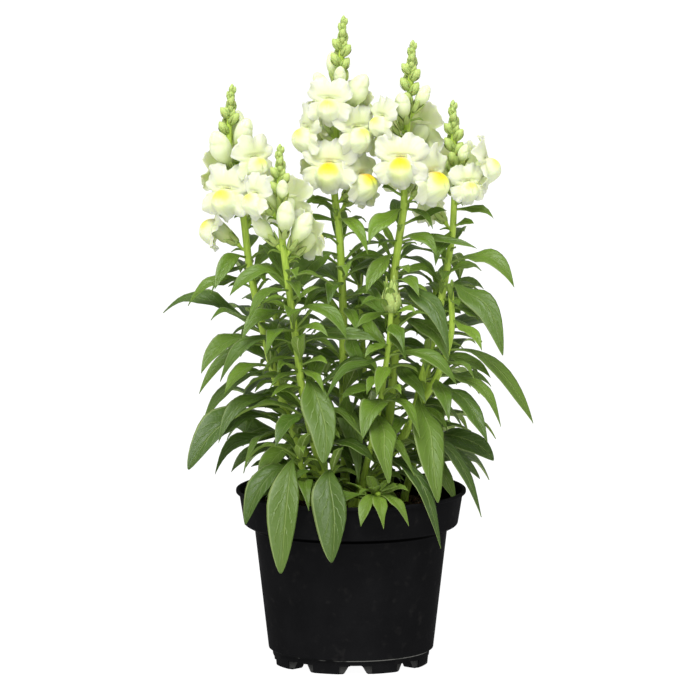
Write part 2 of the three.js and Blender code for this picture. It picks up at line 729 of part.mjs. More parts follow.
for (const stem of STEMS) {
  if (!stem.spread) continue;
  const [low, high, count, longest, first] = stem.spread;
  const route = stem.routes[0];
  for (let i = 0; i < count; i++) {
    const part = (i + 0.5) / count;
    const root = pointAtHeight(route, lerp(low, high, part));
    const length = longest * (1.1 - 0.5 * part) * (0.85 + 0.3 * random());
    const rise = lerp(-14, 24, part) + 16 * (random() - 0.5);
    const tip = root.clone().addScaledVector(direction(first + GOLDEN_ANGLE * i, rise), length);
    const width = length * (0.27 + 0.06 * random());
    const found = clearLeaf(stem, root, tip, width, 0.16 * length, 15);
    if (found.room < LEAF_CLEARANCE || !insideCrown(found.shape.tip)) continue;
    place(found.samples);
    stem.leafShapes.push(found.shape);
  }
}

// ---- The pot and its soil -----------------------------------------------------------------------
function lathe(profile, sides) {
  const geometry = new THREE.LatheGeometry(profile.map(([r, z]) => new THREE.Vector2(r, z)), sides);
  geometry.rotateX(Math.PI / 2);
  return solid(geometry);
}

function potSolid() {
  const wall = [
    [0, FLOOR_UNDERSIDE],
    [FOOT_HOLLOW_RADIUS, FLOOR_UNDERSIDE],
    [FOOT_HOLLOW_RADIUS, 0],
    [FOOT_RADIUS, 0],
    [FOOT_RADIUS + 0.7, SHOULDER_HEIGHT - 0.8],
    [SHOULDER_RADIUS, SHOULDER_HEIGHT],
    [BODY_RADIUS, BODY_TOP],
    [COLLAR_RADIUS, COLLAR_FOOT],
    [RIM_RADIUS - LIP, POT_HEIGHT - 1.2 * LIP],
    [RIM_RADIUS, POT_HEIGHT - 0.6 * LIP],
    [RIM_RADIUS, POT_HEIGHT],
    [RIM_RADIUS - LIP, POT_HEIGHT],
    [COLLAR_RADIUS - WALL, COLLAR_FOOT + 1],
    [BODY_RADIUS - WALL, BODY_TOP + 1],
    [SHOULDER_RADIUS - WALL, SHOULDER_HEIGHT],
    [FLOOR_RADIUS, FLOOR_TOP],
    [0, FLOOR_TOP],
  ];
  let pot = lathe(wall, POT_SIDES);
  for (let i = 0; i < NOTCH_COUNT; i++) {
    pot = pot.subtract(notchCutter(FRONT_NOTCH + (360 * i) / NOTCH_COUNT));
  }
  return pot;
}

// A notch widens downwards through the foot and ends inside in a slot through the pot's floor.
function notchCutter(turn) {
  const low = -1;
  const length = 20;
  const slotHeight = 12;
  const outline = new THREE.Shape();
  outline.moveTo(-NOTCH_FLARE / 2, low);
  outline.lineTo(NOTCH_FLARE / 2, low);
  outline.lineTo(NOTCH_WIDTH / 2, FOOT_HEIGHT);
  outline.lineTo(-NOTCH_WIDTH / 2, FOOT_HEIGHT);
  outline.closePath();
  const notch = new THREE.ExtrudeGeometry(outline, { depth: length, bevelEnabled: false });
  notch.rotateX(Math.PI / 2);
  notch.rotateZ(Math.PI / 2);
  notch.translate(FOOT_HOLLOW_RADIUS - 2, 0, 0);
  const slotLength = FOOT_HOLLOW_RADIUS + 3 - DRAIN_INNER_RADIUS;
  const slot = new THREE.BoxGeometry(slotLength, DRAIN_WIDTH, slotHeight);
  slot.translate(DRAIN_INNER_RADIUS + slotLength / 2, 0, low + slotHeight / 2);
  const cutter = solid(notch).add(solid(slot));
  return cutter.rotate([0, 0, turn]);
}

function soilSolid() {
  const side = (radius, height) =>
    Array.from({ length: SOIL_SIDES }, (_, i) => {
      const turn = (2 * Math.PI * i) / SOIL_SIDES;
      return vector(radius * Math.cos(turn), radius * Math.sin(turn), height);
    });
  const wallRadius = (height) =>
    lerp(SHOULDER_RADIUS, BODY_RADIUS, (height - SHOULDER_HEIGHT) / (BODY_TOP - SHOULDER_HEIGHT)) -
    WALL -
    SEAT_GAP;
  const collarRadius = COLLAR_RADIUS - WALL - SEAT_GAP;
  const rough = (points) => {
    for (const point of points) point.z += SOIL_ROUGHNESS * (2 * random() - 1);
    return points;
  };
  const rings = [
    side(FLOOR_RADIUS - SEAT_GAP, FLOOR_TOP + SEAT_GAP),
    side(wallRadius(SHOULDER_HEIGHT + 1.4), SHOULDER_HEIGHT + 1.4),
    side(wallRadius(BODY_TOP), BODY_TOP + 1.2),
    side(collarRadius, COLLAR_FOOT + 2),
    rough(side(collarRadius, SOIL_HEIGHT - 1)),
    ...SOIL_RING_RADII.map((radius) => rough(side(radius, SOIL_HEIGHT))),
    [vector(0, 0, SOIL_HEIGHT)],
  ];
  return loft(rings);
}

// A plain six-sided hole that a stem stands in.
function stemHole(route, [footRadius]) {
  const [x, y] = route[0];
  const bottom = ring(vector(x, y, STEM_FOOT - SEAT_GAP), UP.clone(), footRadius + HOLE_PLAY, STEM_SIDES);
  return loft([bottom, bottom.map((p) => p.clone().setZ(STEM_FOOT_TOP + 5))]);
}

// ---- The part -----------------------------------------------------------------------------------
const part = new THREE.Group();

function meshOf(name, body, colour, roughness) {
  const { numProp, vertProperties, triVerts } = body.getMesh();
  const geometry = new THREE.BufferGeometry();
  const points = [];
  for (let i = 0; i < vertProperties.length; i += numProp) {
    points.push(vertProperties[i], vertProperties[i + 1], vertProperties[i + 2]);
  }
  geometry.setAttribute("position", new THREE.Float32BufferAttribute(points, 3));
  geometry.setIndex(Array.from(triVerts));
  geometry.computeVertexNormals();
  const material = new THREE.MeshStandardMaterial({ color: colour, roughness, metalness: 0 });
  const mesh = new THREE.Mesh(geometry, material);
  mesh.name = name;
  part.add(mesh);
  return mesh;
}

meshOf("pot", potSolid(), 0x1d1d1f, 0.45);

let soil = soilSolid();
for (const stem of STEMS) soil = soil.subtract(stemHole(stem.routes[0], stem.radius));
meshOf("soil", soil, 0x2a1d14, 0.95);

for (const stem of STEMS) {
  const [main, ...branches] = stem.routes;
  const solids = [stemSolid(main, stem.radius, true)];
  const branchRadius = [stem.radius[1] + 0.5, stem.radius[1]];
  for (const branch of branches) solids.push(stemSolid(branch, branchRadius, false));
  for (const leaf of stem.leafShapes) solids.push(leafSolid(leaf));
  for (const shape of stem.seats) solids.push(calyxSolid(shape));
  for (const bud of stem.tipBuds) solids.push(tipBudSolid(bud));
  meshOf(stem.name, fuse(solids), 0x6c8f45, 0.6);
}

const numbered = (name, i) => name + "_" + String(i + 1).padStart(2, "0");
flowers.forEach((shape, i) => meshOf(numbered("flower", i), flowerSolid(shape), 0xf4f5df, 0.5));
whiteBuds.forEach((shape, i) => meshOf(numbered("white_bud", i), budSolid(shape), 0xe9efcb, 0.5));

export default part;
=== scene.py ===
# A white snapdragon in a black nursery pot: the looks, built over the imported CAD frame.
# Lengths are in millimetres, in the frame of the part, until a piece's mesh is made in metres.
# Angles are in degrees: a turn runs from +X towards +Y, and a rise runs up from level.
import math

import bpy
import numpy as np
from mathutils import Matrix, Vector


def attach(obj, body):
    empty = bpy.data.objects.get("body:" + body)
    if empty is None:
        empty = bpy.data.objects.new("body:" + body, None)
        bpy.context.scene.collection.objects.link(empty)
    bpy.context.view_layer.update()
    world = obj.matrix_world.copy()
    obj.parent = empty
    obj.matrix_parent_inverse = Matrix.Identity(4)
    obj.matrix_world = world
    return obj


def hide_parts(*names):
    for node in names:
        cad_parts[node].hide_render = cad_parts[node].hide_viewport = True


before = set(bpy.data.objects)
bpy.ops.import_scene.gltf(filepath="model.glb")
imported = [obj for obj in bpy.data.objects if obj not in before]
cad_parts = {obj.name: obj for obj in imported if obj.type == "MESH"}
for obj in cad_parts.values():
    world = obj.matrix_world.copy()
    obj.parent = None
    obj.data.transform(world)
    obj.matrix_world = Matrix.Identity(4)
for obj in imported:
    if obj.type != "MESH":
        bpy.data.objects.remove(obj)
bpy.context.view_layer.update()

MM = 0.001

# ---- Driving dimensions that the part has too ----
RIM_RADIUS = 60
LIP = 1.7
POT_HEIGHT = 91.5
FOOT_RADIUS = 40.3
FOOT_HOLLOW_RADIUS = 32
FOOT_HEIGHT = 4.7
FLOOR_UNDERSIDE = 4.1
FLOOR_TOP = 6.2
FLOOR_RADIUS = 39.7
NOTCH_COUNT = 8
FRONT_NOTCH = -86.5
NOTCH_WIDTH = 7.6
NOTCH_FLARE = 13
DRAIN_INNER_RADIUS = 26
DRAIN_WIDTH = 5.3
COLLAR_RADIUS = 55.7
COLLAR_FOOT = 73.4
BODY_RADIUS = 50.2
BODY_TOP = 70.5
SHOULDER_RADIUS = 42.9
SHOULDER_HEIGHT = 8
SOIL_HEIGHT = 82
SEAT_GAP = 0.35
HOLE_PLAY = 0.45
STEM_FOOT = SOIL_HEIGHT - 18

LEAF_FOLD = 0.28
PETIOLE_HALF_WIDTH = 0.9
LEAF_BROADEST = 1.12
LEAF_FULLNESS = 0.85

TUBE_START = 9.2
TUBE_LENGTH = 12.8
TUBE_BASE_RADIUS = 1.5
TUBE_RISE = 38
FACE_RISE = 14
THROAT_RADIUS = 4.5
# Lobes of the solid petals: [direction round the throat, half angle, reach beyond it].
LOBES = [(54, 44, 11), (126, 44, 11), (-33, 29, 9), (213, 29, 9), (270, 30, 9)]
LOBE_GAP = 0.6
LIMB_ANGLES = [8, 33, 62, 90, 118, 147, 172, 208, 243, 270, 297, 332]
BUD_START = 8.2
TIP_BUD_COUNT = 7
TIP_BUD_SPACING = 3.2

GOLDEN_ANGLE = 137.5
LEAF_CLEARANCE = 2.6
BLOOM_CLEARANCE = 1.7
BUD_CLEARANCE = 0.9
RIM_CLEARANCE = 3.2
CROWN_DEPTH = 71
RANDOM_SEED = 20417

# ---- Driving dimensions of what only the looks have ----
TUFT_CLEARANCE = 0.9
TUFT_LOWEST = 92
TUFT_SPACING = 8
TUFT_LEAVES = 4
TUFT_BELOW_FLOWERS = 6
TOP_LEAVES = 11
LOWER_BUDS = 12
LOWER_BUD_LENGTH = 9.4
LOWER_BUD_SPACING = 2.4
FILLER_TRIES = 240
FILLER_LOWEST = 90
FILLER_TOP = 215
# From one value to another, for a leaf's rise, length and width as a share of its length.
TUFT_RISE, TUFT_LENGTH = (5, 62), (9, 21)
TOP_LEAF_RISE, TOP_LEAF_LENGTH = (84, 28), (8, 19)
FILLER_RISE, FILLER_LENGTH, FILLER_SLIMNESS = (-25, 35), (20, 42), (0.26, 0.36)

LEAF_TWIST = 75
LEAF_SWAY = 0.12
LEAF_CURL = 0.1
LEAF_WAVE = 0.15
BLADE_ROOT_FULLNESS = 1.35
WIDE_TIP_FULLNESS = 0.62
SLIM_TIP_FULLNESS = 1.05
SLIM_BLADE = 0.9
SLIM_WIDTH = 11
BROAD_WIDTH = 15.5
WIDE_WIDTH = 16
FLAT_ARCH = 5
ARCHED_BROADEST = 0.055
SMALL_LEAF = 24
YOUNG_LEAF = 22
# Places across a leaf's upper side, from one margin over the midrib to the other.
LEAF_ACROSS = np.array([-1, -0.87, -0.67, -0.44, -0.2, 0, 0.2, 0.44, 0.67, 0.87, 1])

SEPAL_COUNT = 5
SEPAL_LENGTH = 7.2
SEPAL_HALF_ANGLE = 33
CALYX_DEPTH = 2.6
BRACT_LENGTH = 8.5
BRACT_WIDTH = 2.6
EAR_BUDS = 16
EAR_SPACING = 0.95
GREEN_BUD_SLIMNESS = 0.26
CROWN_WHORLS = ((3.5, 18.5), (4.4, 16), (5.2, 12.5))
CROWN_HUSKS = 5
BUDDED_SHOOT = "leafy_shoot_1"

# Lobes of the open petals, as LOBES gives them, and the swollen palate between them.
PETAL_LOBES = [(53, 43, 13.2), (127, 43, 13.2), (-27, 37, 10.4), (207, 37, 10.4), (270, 34, 8.4)]
PETAL_FULLNESS = 2.6
GAP_REACH = 4.4
LIMB_COLUMNS = 96
# Ripples of the petals: [height, how many round the limb, how fast it grows outwards].
FRILLS = [(1.2, 4, 2), (1.3, 9, 3), (0.6, 21, 6)]
PALATE_WIDTH = 7
PALATE_HEIGHT = 7.4
PALATE_MIDDLE = -3.6
PALATE_PUFF = 6.4
# How yellow a flower's palate is, by its number: the youngest ones are pale.
MATURITY = {1: 0.72, 3: 0.66, 11: 1, 13: 1, 19: 1, 20: 1}
PALE_MATURITY = 0.5

POT_SEGMENTS = 160
WALL = 1.4
LEDGE_HEIGHT = SHOULDER_HEIGHT - 0.8
POCKET_HALF = 8.6
POCKET_HEIGHT = 4.3
POCKET_DEPTH = 1.8
NOTCH_ROUNDING = 1.3
CUT_BELOW = -5
AXIS_RADIUS = 0.01
SOIL_SEGMENTS = 96
SOIL_RINGS = 46
GRANULE_COUNT = 520

CAMERA_RISE = 9.3
CAMERA_DISTANCE = 12
SENSOR = 36
VIEW_WIDTH = 362.5
VIEW_CENTRE = np.array([-1.56, 0, 165.7])
FLOOR_HALF = 60
FLOOR_GLOW = 0.98
WORLD_STRENGTH = 0.43
# Soft far lights: [name, turn and rise it comes from, strength, how wide it looks].
LIGHTS = [("key_light", -104, 56, 3.3, 40), ("front_light", -92, 16, 0.42, 50)]
WHITE = (1, 1, 1, 1)
# How light spreads inside a blade, alike on both of its sides.
LEAF_GLOW = {"Subsurface_Weight": 0.06, "Subsurface_Radius": (0.6, 1, 0.2), "Subsurface_Scale": 0.0008}

# A route runs from the soil to the top. A leaf is [root height, tip x, tip y, tip z, width, arch,
# roll]. A flower is [height of its face, direction, size]. A white bud is [height of its middle,
# direction, length, rise]. The further leaves follow a rule: [lowest, highest, how many, longest,
# first direction].
STEMS = [
    {
        "name": "flowering_stem_1",
        "routes": [
            [(-9, 2, 84), (-17, 2, 98), (-31, 3, 122), (-41, 5, 154), (-48, 6, 184), (-53, 7, 207),
             (-56, 8, 235), (-60, 8, 251), (-64, 8, 274), (-62, 8, 299)],
        ],
        "radius": (2.5, 1.5),
        "leaves": [
            (172, -98, 10, 185, 13, 8, 40), (178, -73, -14, 184, 9, 3, 30), (167, -78, -24, 156, 12, 9, 20),
            (166, -82, -4, 148, 8, 8, 25), (154, -79, -2, 122, 9, 7, 25), (138, -73, -22, 124, 10, 10, 25),
            (123, -80, -34, 110, 16, 14, 45), (122, -56, -26, 105, 9, 8, -20), (146, -54, -8, 142, 6, 3, 20),
            (117, -71, -10, 103, 10, 8, 20), (212, -80, -6, 208, 9, 6, 40), (209, -72, -14, 205, 7, 3, 20),
            (200, -85, -2, 191, 10, 6, 35), (210, -36, -6, 214, 7, 5, 30),
        ],
        "flowers": [(247, -123, 1), (264, -50, 0.9), (229, -165, 1), (240, 60, 1), (256, 130, 0.9)],
        "buds": [(264, -155, 23, 62), (272, -80, 19, 66), (277, -10, 13, 60), (274, 95, 18, 64)],
        "spread": (100, 235, 16, 42, 100),
    },
    {
        "name": "flowering_stem_2",
        "routes": [
            [(-12, -16, 84), (-15, -18, 103), (-21, -21, 126), (-26, -23, 150), (-28, -25, 170),
             (-32, -27, 199), (-36, -28, 229), (-37, -28, 251), (-37, -28, 273)],
        ],
        "radius": (2.4, 1.5),
        "leaves": [
            (171, -68, -45, 156, 12, 12, 20), (188, -55, -42, 173, 10, 6, 20), (188, -2, -40, 178, 10, 9, 25),
            (204, -63, -36, 202, 10, 8, 35), (154, -14, -54, 115, 17, 9, 0), (160, -12, -38, 165, 7, 2, 30),
            (157, -42, -42, 152, 7, 2, 10), (171, 12, -38, 176, 10, 4, 35), (195, -24, -36, 199, 6, 1, 20),
            (195, -42, -38, 197, 6, 2, 20),
        ],
        "flowers": [(250, -150, 0.85), (244, 80, 0.95), (230, 35, 0.9)],
        "buds": [
            (233, 180, 17, 50), (237, -120, 20, 66), (248, -90, 13, 66), (239, -35, 20, 62),
            (251, 120, 15, 66),
        ],
        "spread": (100, 220, 13, 40, 200),
    },
    {
        "name": "flowering_stem_3",
        "routes": [
            [(-3, 12, 84), (-3, 12, 97), (-4, 11, 136), (-4, 10, 185), (-6, 10, 226), (-9, 10, 247),
             (-7, 9, 290), (-4, 8, 335)],
        ],
        "radius": (2.6, 1.5),
        "leaves": [
            (141, 4, -32, 103, 12, 12, 0), (171, 5, -22, 152, 9, 5, 10), (222, -32, 22, 214, 8, 4, 30),
            (213, -30, -12, 194, 14, 9, 30), (241, -25, -2, 243, 6, 2, 35), (238, -30, 14, 244, 6, 2, 35),
            (231, -25, 0, 232, 7, 2, 30), (191, -25, -8, 189, 9, 3, 30), (190, 13, -4, 194, 8, 3, 30),
            (185, 3, -14, 177, 8, 3, 10), (231, 9, -12, 218, 9, 8, 25),
        ],
        "flowers": [
            (295, -105, 0.85), (278, -155, 0.95), (264, -130, 1), (279, -70, 0.95), (257, -58, 1),
            (251, 25, 0.9), (290, 28, 0.85), (262, 110, 0.95), (278, 120, 0.85),
        ],
        "buds": [(303, -165, 16, 60), (308, -90, 13, 66), (299, -20, 23, 60), (306, 100, 16, 62)],
        "spread": (100, 245, 18, 42, 40),
    },
    {
        "name": "flowering_stem_4",
        "routes": [
            [(14, 12, 84), (17, 12, 99), (21, 11, 136), (24, 9, 174), (22, 5, 200), (25, 3, 223),
             (28, 2, 241), (27, 2, 257), (30, 2, 291), (32, 2, 323)],
        ],
        "radius": (2.6, 1.5),
        "leaves": [
            (239, 9, -18, 224, 12, 3, 25), (239, 34, -16, 227, 6, 2, 10), (222, 12, -10, 221, 6, 1, 20),
            (215, 8, -12, 197, 10, 3, 25), (222, 45, -14, 217, 9, 6, 30), (230, 47, -6, 242, 6, 1, 25),
            (221, 52, -26, 234, 6, 2, 30), (245, 16, -10, 252, 6, 1, 25), (210, 43, 22, 214, 9, 4, 30),
            (203, 43, 4, 206, 8, 4, 30), (206, 32, -10, 200, 7, 2, 15), (196, 51, -30, 172, 12, 13, 25),
            (190, 49, 24, 169, 14, 5, -25), (180, 55, -20, 165, 13, 5, 20), (155, 44, -24, 142, 9, 5, 10),
        ],
        "flowers": [
            (286, -172, 0.8), (271, -127, 1), (262, -36, 1.1), (278, 58, 1), (262, 100, 1),
            (274, 150, 0.85),
        ],
        "buds": [(291, -105, 17, 62), (292, -25, 14, 60), (295, 110, 16, 62)],
        "spread": (100, 240, 16, 42, 300),
    },
    {
        "name": "flowering_stem_5",
        "routes": [
            [(1, -3, 84), (11, -4, 98), (27, -4, 118), (34, -2, 134), (37, 0, 149), (44, 6, 174),
             (49, 10, 200), (53, 11, 224), (54, 12, 247), (53, 12, 290)],
            [(34, -2, 134), (43, -6, 147), (49, -8, 161), (53, -8, 177), (52, -8, 196)],
        ],
        "radius": (2.6, 1.5),
        "leaves": [
            (226, 43, -8, 213, 9, 2, 15), (237, 68, -4, 240, 7, 2, 30), (228, 64, 4, 231, 7, 1, 30),
            (204, 38, -4, 203, 8, 2, 25), (208, 85, -10, 202, 12, 9, 35), (203, 68, 20, 205, 8, 3, 30),
            (197, 79, -24, 169, 14, 13, 25), (142, 45, -50, 97, 17, 8, 0), (122, 68, -20, 81, 11, 12, 25),
        ],
        "branchLeaves": [
            (191, 62, -16, 196, 6, 1, 25), (189, 71, -22, 186, 9, 2, 25), (182, 69, -30, 173, 9, 2, 20),
            (166, 95, -10, 132, 12, 10, 30), (154, 78, -28, 132, 11, 7, 20), (145, 71, -34, 124, 12, 6, 20),
            (160, 64, -30, 157, 8, 2, 20), (150, 60, -38, 129, 11, 5, 10),
        ],
        "flowers": [(261, -8, 0.95), (248, -60, 0.75), (254, 75, 1), (244, 140, 0.85)],
        "buds": [(267, -50, 12, 60), (270, 60, 15, 62)],
        "spread": (105, 240, 14, 42, 0),
    },
    {
        "name": "leafy_shoot_1",
        "routes": [[(5, -15, 84), (7, -16, 102), (10, -18, 115), (15, -20, 139), (20, -22, 173),
                    (21, -22, 194)]],
        "radius": (1.9, 1.3),
        "leaves": [
            (165, 55, -36, 154, 12, 7, 30), (188, 3, -34, 183, 7, 1, 15), (188, 32, -30, 193, 6, 1, 20),
            (177, 31, -38, 166, 8, 2, 10), (171, 7, -36, 168, 7, 2, 20), (164, -15, -48, 152, 9, 7, 30),
            (140, 36, -42, 126, 9, 8, 20), (135, 19, -60, 103, 15.5, 7, 0), (115, 37, -70, 82, 12, 14, 10),
            (122, 33, -46, 108, 9, 6, 15),
        ],
        "crest": [
            (190, 17, -25, 206, 6, 1, 10), (190, 25, -24, 205, 6, 1, 10), (189, 21, -29, 203, 6, 1, 10),
            (189, 21, -16, 204, 6, 1, 10),
        ],
        "spread": (95, 160, 4, 38, 150),
    },
    {
        "name": "leafy_shoot_2",
        "routes": [[(8, -26, 84), (12, -42, 94), (14, -55, 98)]],
        "radius": (1.8, 1.4),
        "leaves": [],
        "crest": [
            (97, 30, -66, 85, 9, 4, 10), (97, 17, -72, 84, 9, 4, 0), (96, 12, -64, 104, 8, 1, 0),
            (96, 5, -71, 84, 9, 5, 0), (95, 4, -58, 98, 7, 3, 0), (96, 24, -60, 103, 8, 1, 10),
            (93, 30, -52, 99, 8, 2, 10), (94, 9, -50, 107, 8, 1, 0),
        ],
    },
    {
        "name": "leafy_shoot_3",
        "routes": [
            [(-20, -22, 84), (-24, -28, 100), (-27, -33, 114)],
            [(-21, -23, 88), (-13, -33, 99), (-10, -38, 106)],
        ],
        "radius": (1.9, 1.4),
        "leaves": [
            (110, -31, -71, 61, 16, 21, 0), (104, -55, -46, 82, 14, 13, 15), (112, -45, -50, 101, 9, 8, 10),
            (112, -22, -44, 128, 8, 2, 0), (113, -38, -36, 126, 8, 2, 0),
        ],
        "branchLeaves": [
            (103, -10, -70, 68, 18, 18, 0), (100, -24, -62, 86, 8, 12, 0), (104, -2, -50, 116, 8, 3, 0),
        ],
    },
    {
        "name": "leafy_shoot_4",
        "routes": [[(-26, 22, 84), (-34, 34, 120), (-40, 38, 182)]],
        "radius": (2.1, 1.2),
        "leaves": [],
        "spread": (94, 180, 18, 46, 90),
    },
    {
        "name": "leafy_shoot_5",
        "routes": [[(4, 32, 84), (8, 40, 125), (4, 42, 204)]],
        "radius": (2.1, 1.2),
        "leaves": [(118, 6, 71, 96, 11, 10, 0), (150, -14, 69, 140, 11, 9, 0), (138, 30, 68, 122, 11, 9, 0)],
        "spread": (94, 200, 19, 46, 60),
    },
    {
        "name": "leafy_shoot_6",
        "routes": [[(28, 20, 84), (38, 30, 120), (44, 36, 192)]],
        "radius": (2.1, 1.2),
        "leaves": [],
        "spread": (94, 190, 17, 46, 30),
    },
]
# The plant's outline: [height, furthest left, furthest right].
CROWN = [(80, -72, 80), (120, -78, 90), (150, -80, 88), (185, -72, 72), (215, -60, 62), (245, -50, 56)]


# ---- Geometry helpers ----
def vector(x, y, z):
    return np.array([x, y, z], float)


def unit(v):
    return v / np.linalg.norm(v, axis=-1, keepdims=True)


def lerp(a, b, t):
    return a + (b - a) * t


def smoothstep(low, high, x):
    t = np.clip((x - low) / (high - low), 0, 1)
    return t * t * (3 - 2 * t)


def hump(t):
    """1 where t is a half, 0 where it is 0 or 1."""
    return np.sin(np.pi * t)


def bell(x, width):
    return np.exp(-((x / width) ** 2))


def direction(turn, rise):
    turn, rise = math.radians(turn), math.radians(rise)
    return vector(math.cos(turn) * math.cos(rise), math.sin(turn) * math.cos(rise), math.sin(rise))


def full_turn(count):
    return 2 * np.pi * np.arange(count) / count


def around(one, other, turn):
    """Directions in the plane of two others, at angles from the first towards the second."""
    return one * np.cos(turn)[..., None] + other * np.sin(turn)[..., None]


def rolled(side, face, angle):
    """Two crossed directions, turned together in their plane."""
    return side * np.cos(angle) + face * np.sin(angle), face * np.cos(angle) - side * np.sin(angle)


class Draws:
    """The part's own seeded draws, from 0 to 1."""

    def __init__(self, seed):
        self.state = seed

    def __call__(self):
        self.state = (self.state * 1664525 + 1013904223) % 4294967296
        return self.state / 4294967296


# ---- The shapes that the part places ----
# A sample is [x, y, z, radius, flag]. On a new piece the flag marks samples near its root, which
# aren't held against the stem it grows on; on a placed one it is the stem's number, or -1.
def as_samples(points, radius, flags=0):
    return np.column_stack([points] + [np.broadcast_to(value, len(points)) for value in (radius, flags)])


def point_at_height(route, height):
    k = 0
    while k < len(route) - 2 and route[k + 1][2] < height:
        k += 1
    low, high = vector(*route[k]), vector(*route[k + 1])
    return lerp(low, high, (height - low[2]) / (high[2] - low[2]))


class Leaf:
    """A blade: a parabola from root to tip, level across at its root and rolled further out."""

    def __init__(self, root, tip, width, arch, roll):
        self.root, self.tip, self.width, self.arch, self.roll = root, tip, width, arch, roll
        self.length = np.linalg.norm(tip - root)

    def at(self, t):
        reach = self.tip - self.root
        heading = unit(reach * (1, 1, 0))
        level = vector(heading[1], -heading[0], 0)
        middle = self.root + t[:, None] * reach
        middle[:, 2] += 4 * self.arch * t * (1 - t)
        along = np.repeat(reach[None], len(t), 0)
        along[:, 2] += 4 * self.arch * (1 - 2 * t)
        lean = math.radians(self.roll) * heading[0] * np.minimum(1, 2 * t)
        side, face = rolled(level, np.cross(level, unit(along)), -lean[:, None])
        petiole = np.where(t < 0.5, PETIOLE_HALF_WIDTH, 0)
        outline = np.abs(hump(t**LEAF_BROADEST)) ** LEAF_FULLNESS
        return middle, side, face, np.maximum(petiole, self.width / 2 * outline)

    def samples(self):
        steps = np.arange(2, 11)
        middle, side, face, half = self.at(steps / 10)
        rows = []
        for across in (-1, -0.5, 0, 0.5, 1):
            lift = abs(across) * half * LEAF_FOLD
            points = middle + side * (across * half)[:, None] + face * lift[:, None]
            rows.append(as_samples(points, 0.6, steps < 5))
        return np.concatenate(rows)


def leaf_towards(root, turn, rise, length, slimness, arch_share, roll):
    """A leaf of a length, with its width and arch as shares of it."""
    return Leaf(root, root + direction(turn, rise) * length, slimness * length, arch_share * length, roll)


class Flower:
    """A corolla: a tube from its calyx to its throat, with two lips round the throat."""

    def __init__(self, root, turn, size):
        self.root, self.size = root, size
        self.axis = direction(turn, TUBE_RISE)
        self.forward = direction(turn, FACE_RISE)
        self.upward = direction(turn, FACE_RISE + 90)
        self.beside = np.cross(self.upward, self.forward)
        self.start = root + self.axis * TUBE_START
        self.throat = root + self.axis * (TUBE_START + TUBE_LENGTH * size)

    def limb(self, angle, outward, ahead):
        """Points round the throat: their direction in degrees, distance outwards and ahead."""
        spread = around(self.beside, self.upward, np.radians(angle))
        outward, ahead = np.asarray(outward, float)[..., None], np.asarray(ahead, float)[..., None]
        return self.throat + self.size * (spread * outward + self.forward * ahead)

    def samples(self):
        angles = np.array(LIMB_ANGLES, float)
        lower = np.where(angles > 180, 1, 0)
        lobe = np.array([lobe_reach(a) for a in angles])
        rings = [
            (THROAT_RADIUS, 0),
            (THROAT_RADIUS + 0.55 * lobe, 1.6 + 1.2 * lower),
            (THROAT_RADIUS + lobe, 0.6 - 2.2 * lower),
            (THROAT_RADIUS - 0.6, 2 + 0.8 * lower),
        ]
        rows = [as_samples(self.limb(angles, *ring), 0.7) for ring in rings]
        along = np.array([0.35, 0.5, 0.65, 0.8, 0.95])
        points = self.root + along[:, None] * (self.throat - self.root)
        return np.concatenate(rows + [as_samples(points, 3.2, along < 0.6)])


class Bud:
    """A closed corolla."""

    def __init__(self, root, turn, length, rise):
        self.root, self.length, self.turn = root, length, turn
        self.axis = direction(turn, rise)
        self.start = root + self.axis * BUD_START

    def samples(self):
        along = np.array([0.05, 0.3, 0.5, 0.7, 0.9])
        points = self.start + along[:, None] * self.axis * self.length
        radius = 0.2 * self.length * np.where(along < 0.1, 0.8, 1)
        stalk = as_samples((self.root + self.axis * 6)[None], 2.6, True)
        return np.concatenate([stalk, as_samples(points, radius, along < 0.4)])


def lobe_reach(angle):
    reach = LOBE_GAP
    for middle, half_angle, length in LOBES:
        off = abs((angle - middle + 540) % 360 - 180) / half_angle
        if off < 1:
            reach = max(reach, length * math.sqrt(1 - off * off))
    return reach


def stem_samples(route, radius):
    foot, top = route[0][2], route[-1][2]
    heights = np.arange(foot, top + 1e-9, 3)
    points = np.array([point_at_height(route, h) for h in heights])
    return as_samples(points, lerp(*radius, (heights - foot) / (top - foot)))


# ---- Placing without touching, by the part's rule ----
class Room:
    """What is placed already."""

    def __init__(self):
        self.placed = np.zeros((0, 5))

    def add(self, samples, owner=-1):
        marked = samples.copy()
        marked[:, 4] = owner
        self.placed = np.concatenate([self.placed, marked])

    def clearance(self, samples, owner, enough):
        margin = enough + 10
        low = samples[:, :3].min(0) - margin
        high = samples[:, :3].max(0) + margin
        near = self.placed[((self.placed[:, :3] > low) & (self.placed[:, :3] < high)).all(1)]
        if not len(near):
            return pot_clearance(samples)
        apart = np.linalg.norm(samples[:, None, :3] - near[None, :, :3], axis=2)
        gap = apart - samples[:, None, 3] - near[None, :, 3]
        gap[(samples[:, None, 4] > 0.5) & (near[None, :, 4] == owner)] = np.inf
        return min(gap.min(), pot_clearance(samples))

    def settle(self, choices, shape_of, owner, enough):
        """The first choice with enough clearance, else the one with the most."""
        best, best_room = None, -np.inf
        for choice in choices:
            shape = shape_of(choice)
            room = self.clearance(shape.samples(), owner, enough)
            if room > best_room:
                best, best_room = shape, room
            if room >= enough:
                break
        return best, best_room


def pot_clearance(samples):
    x, y, z = samples[:, 0], samples[:, 1], samples[:, 2]
    out = np.hypot(x, y)
    above = np.where(out < RIM_RADIUS - 3, z - SOIL_HEIGHT, z - POT_HEIGHT)
    outside = np.maximum(above, out - RIM_RADIUS) + LEAF_CLEARANCE - RIM_CLEARANCE
    return min(outside.min(), (CROWN_DEPTH + LEAF_CLEARANCE - np.abs(y)).min())


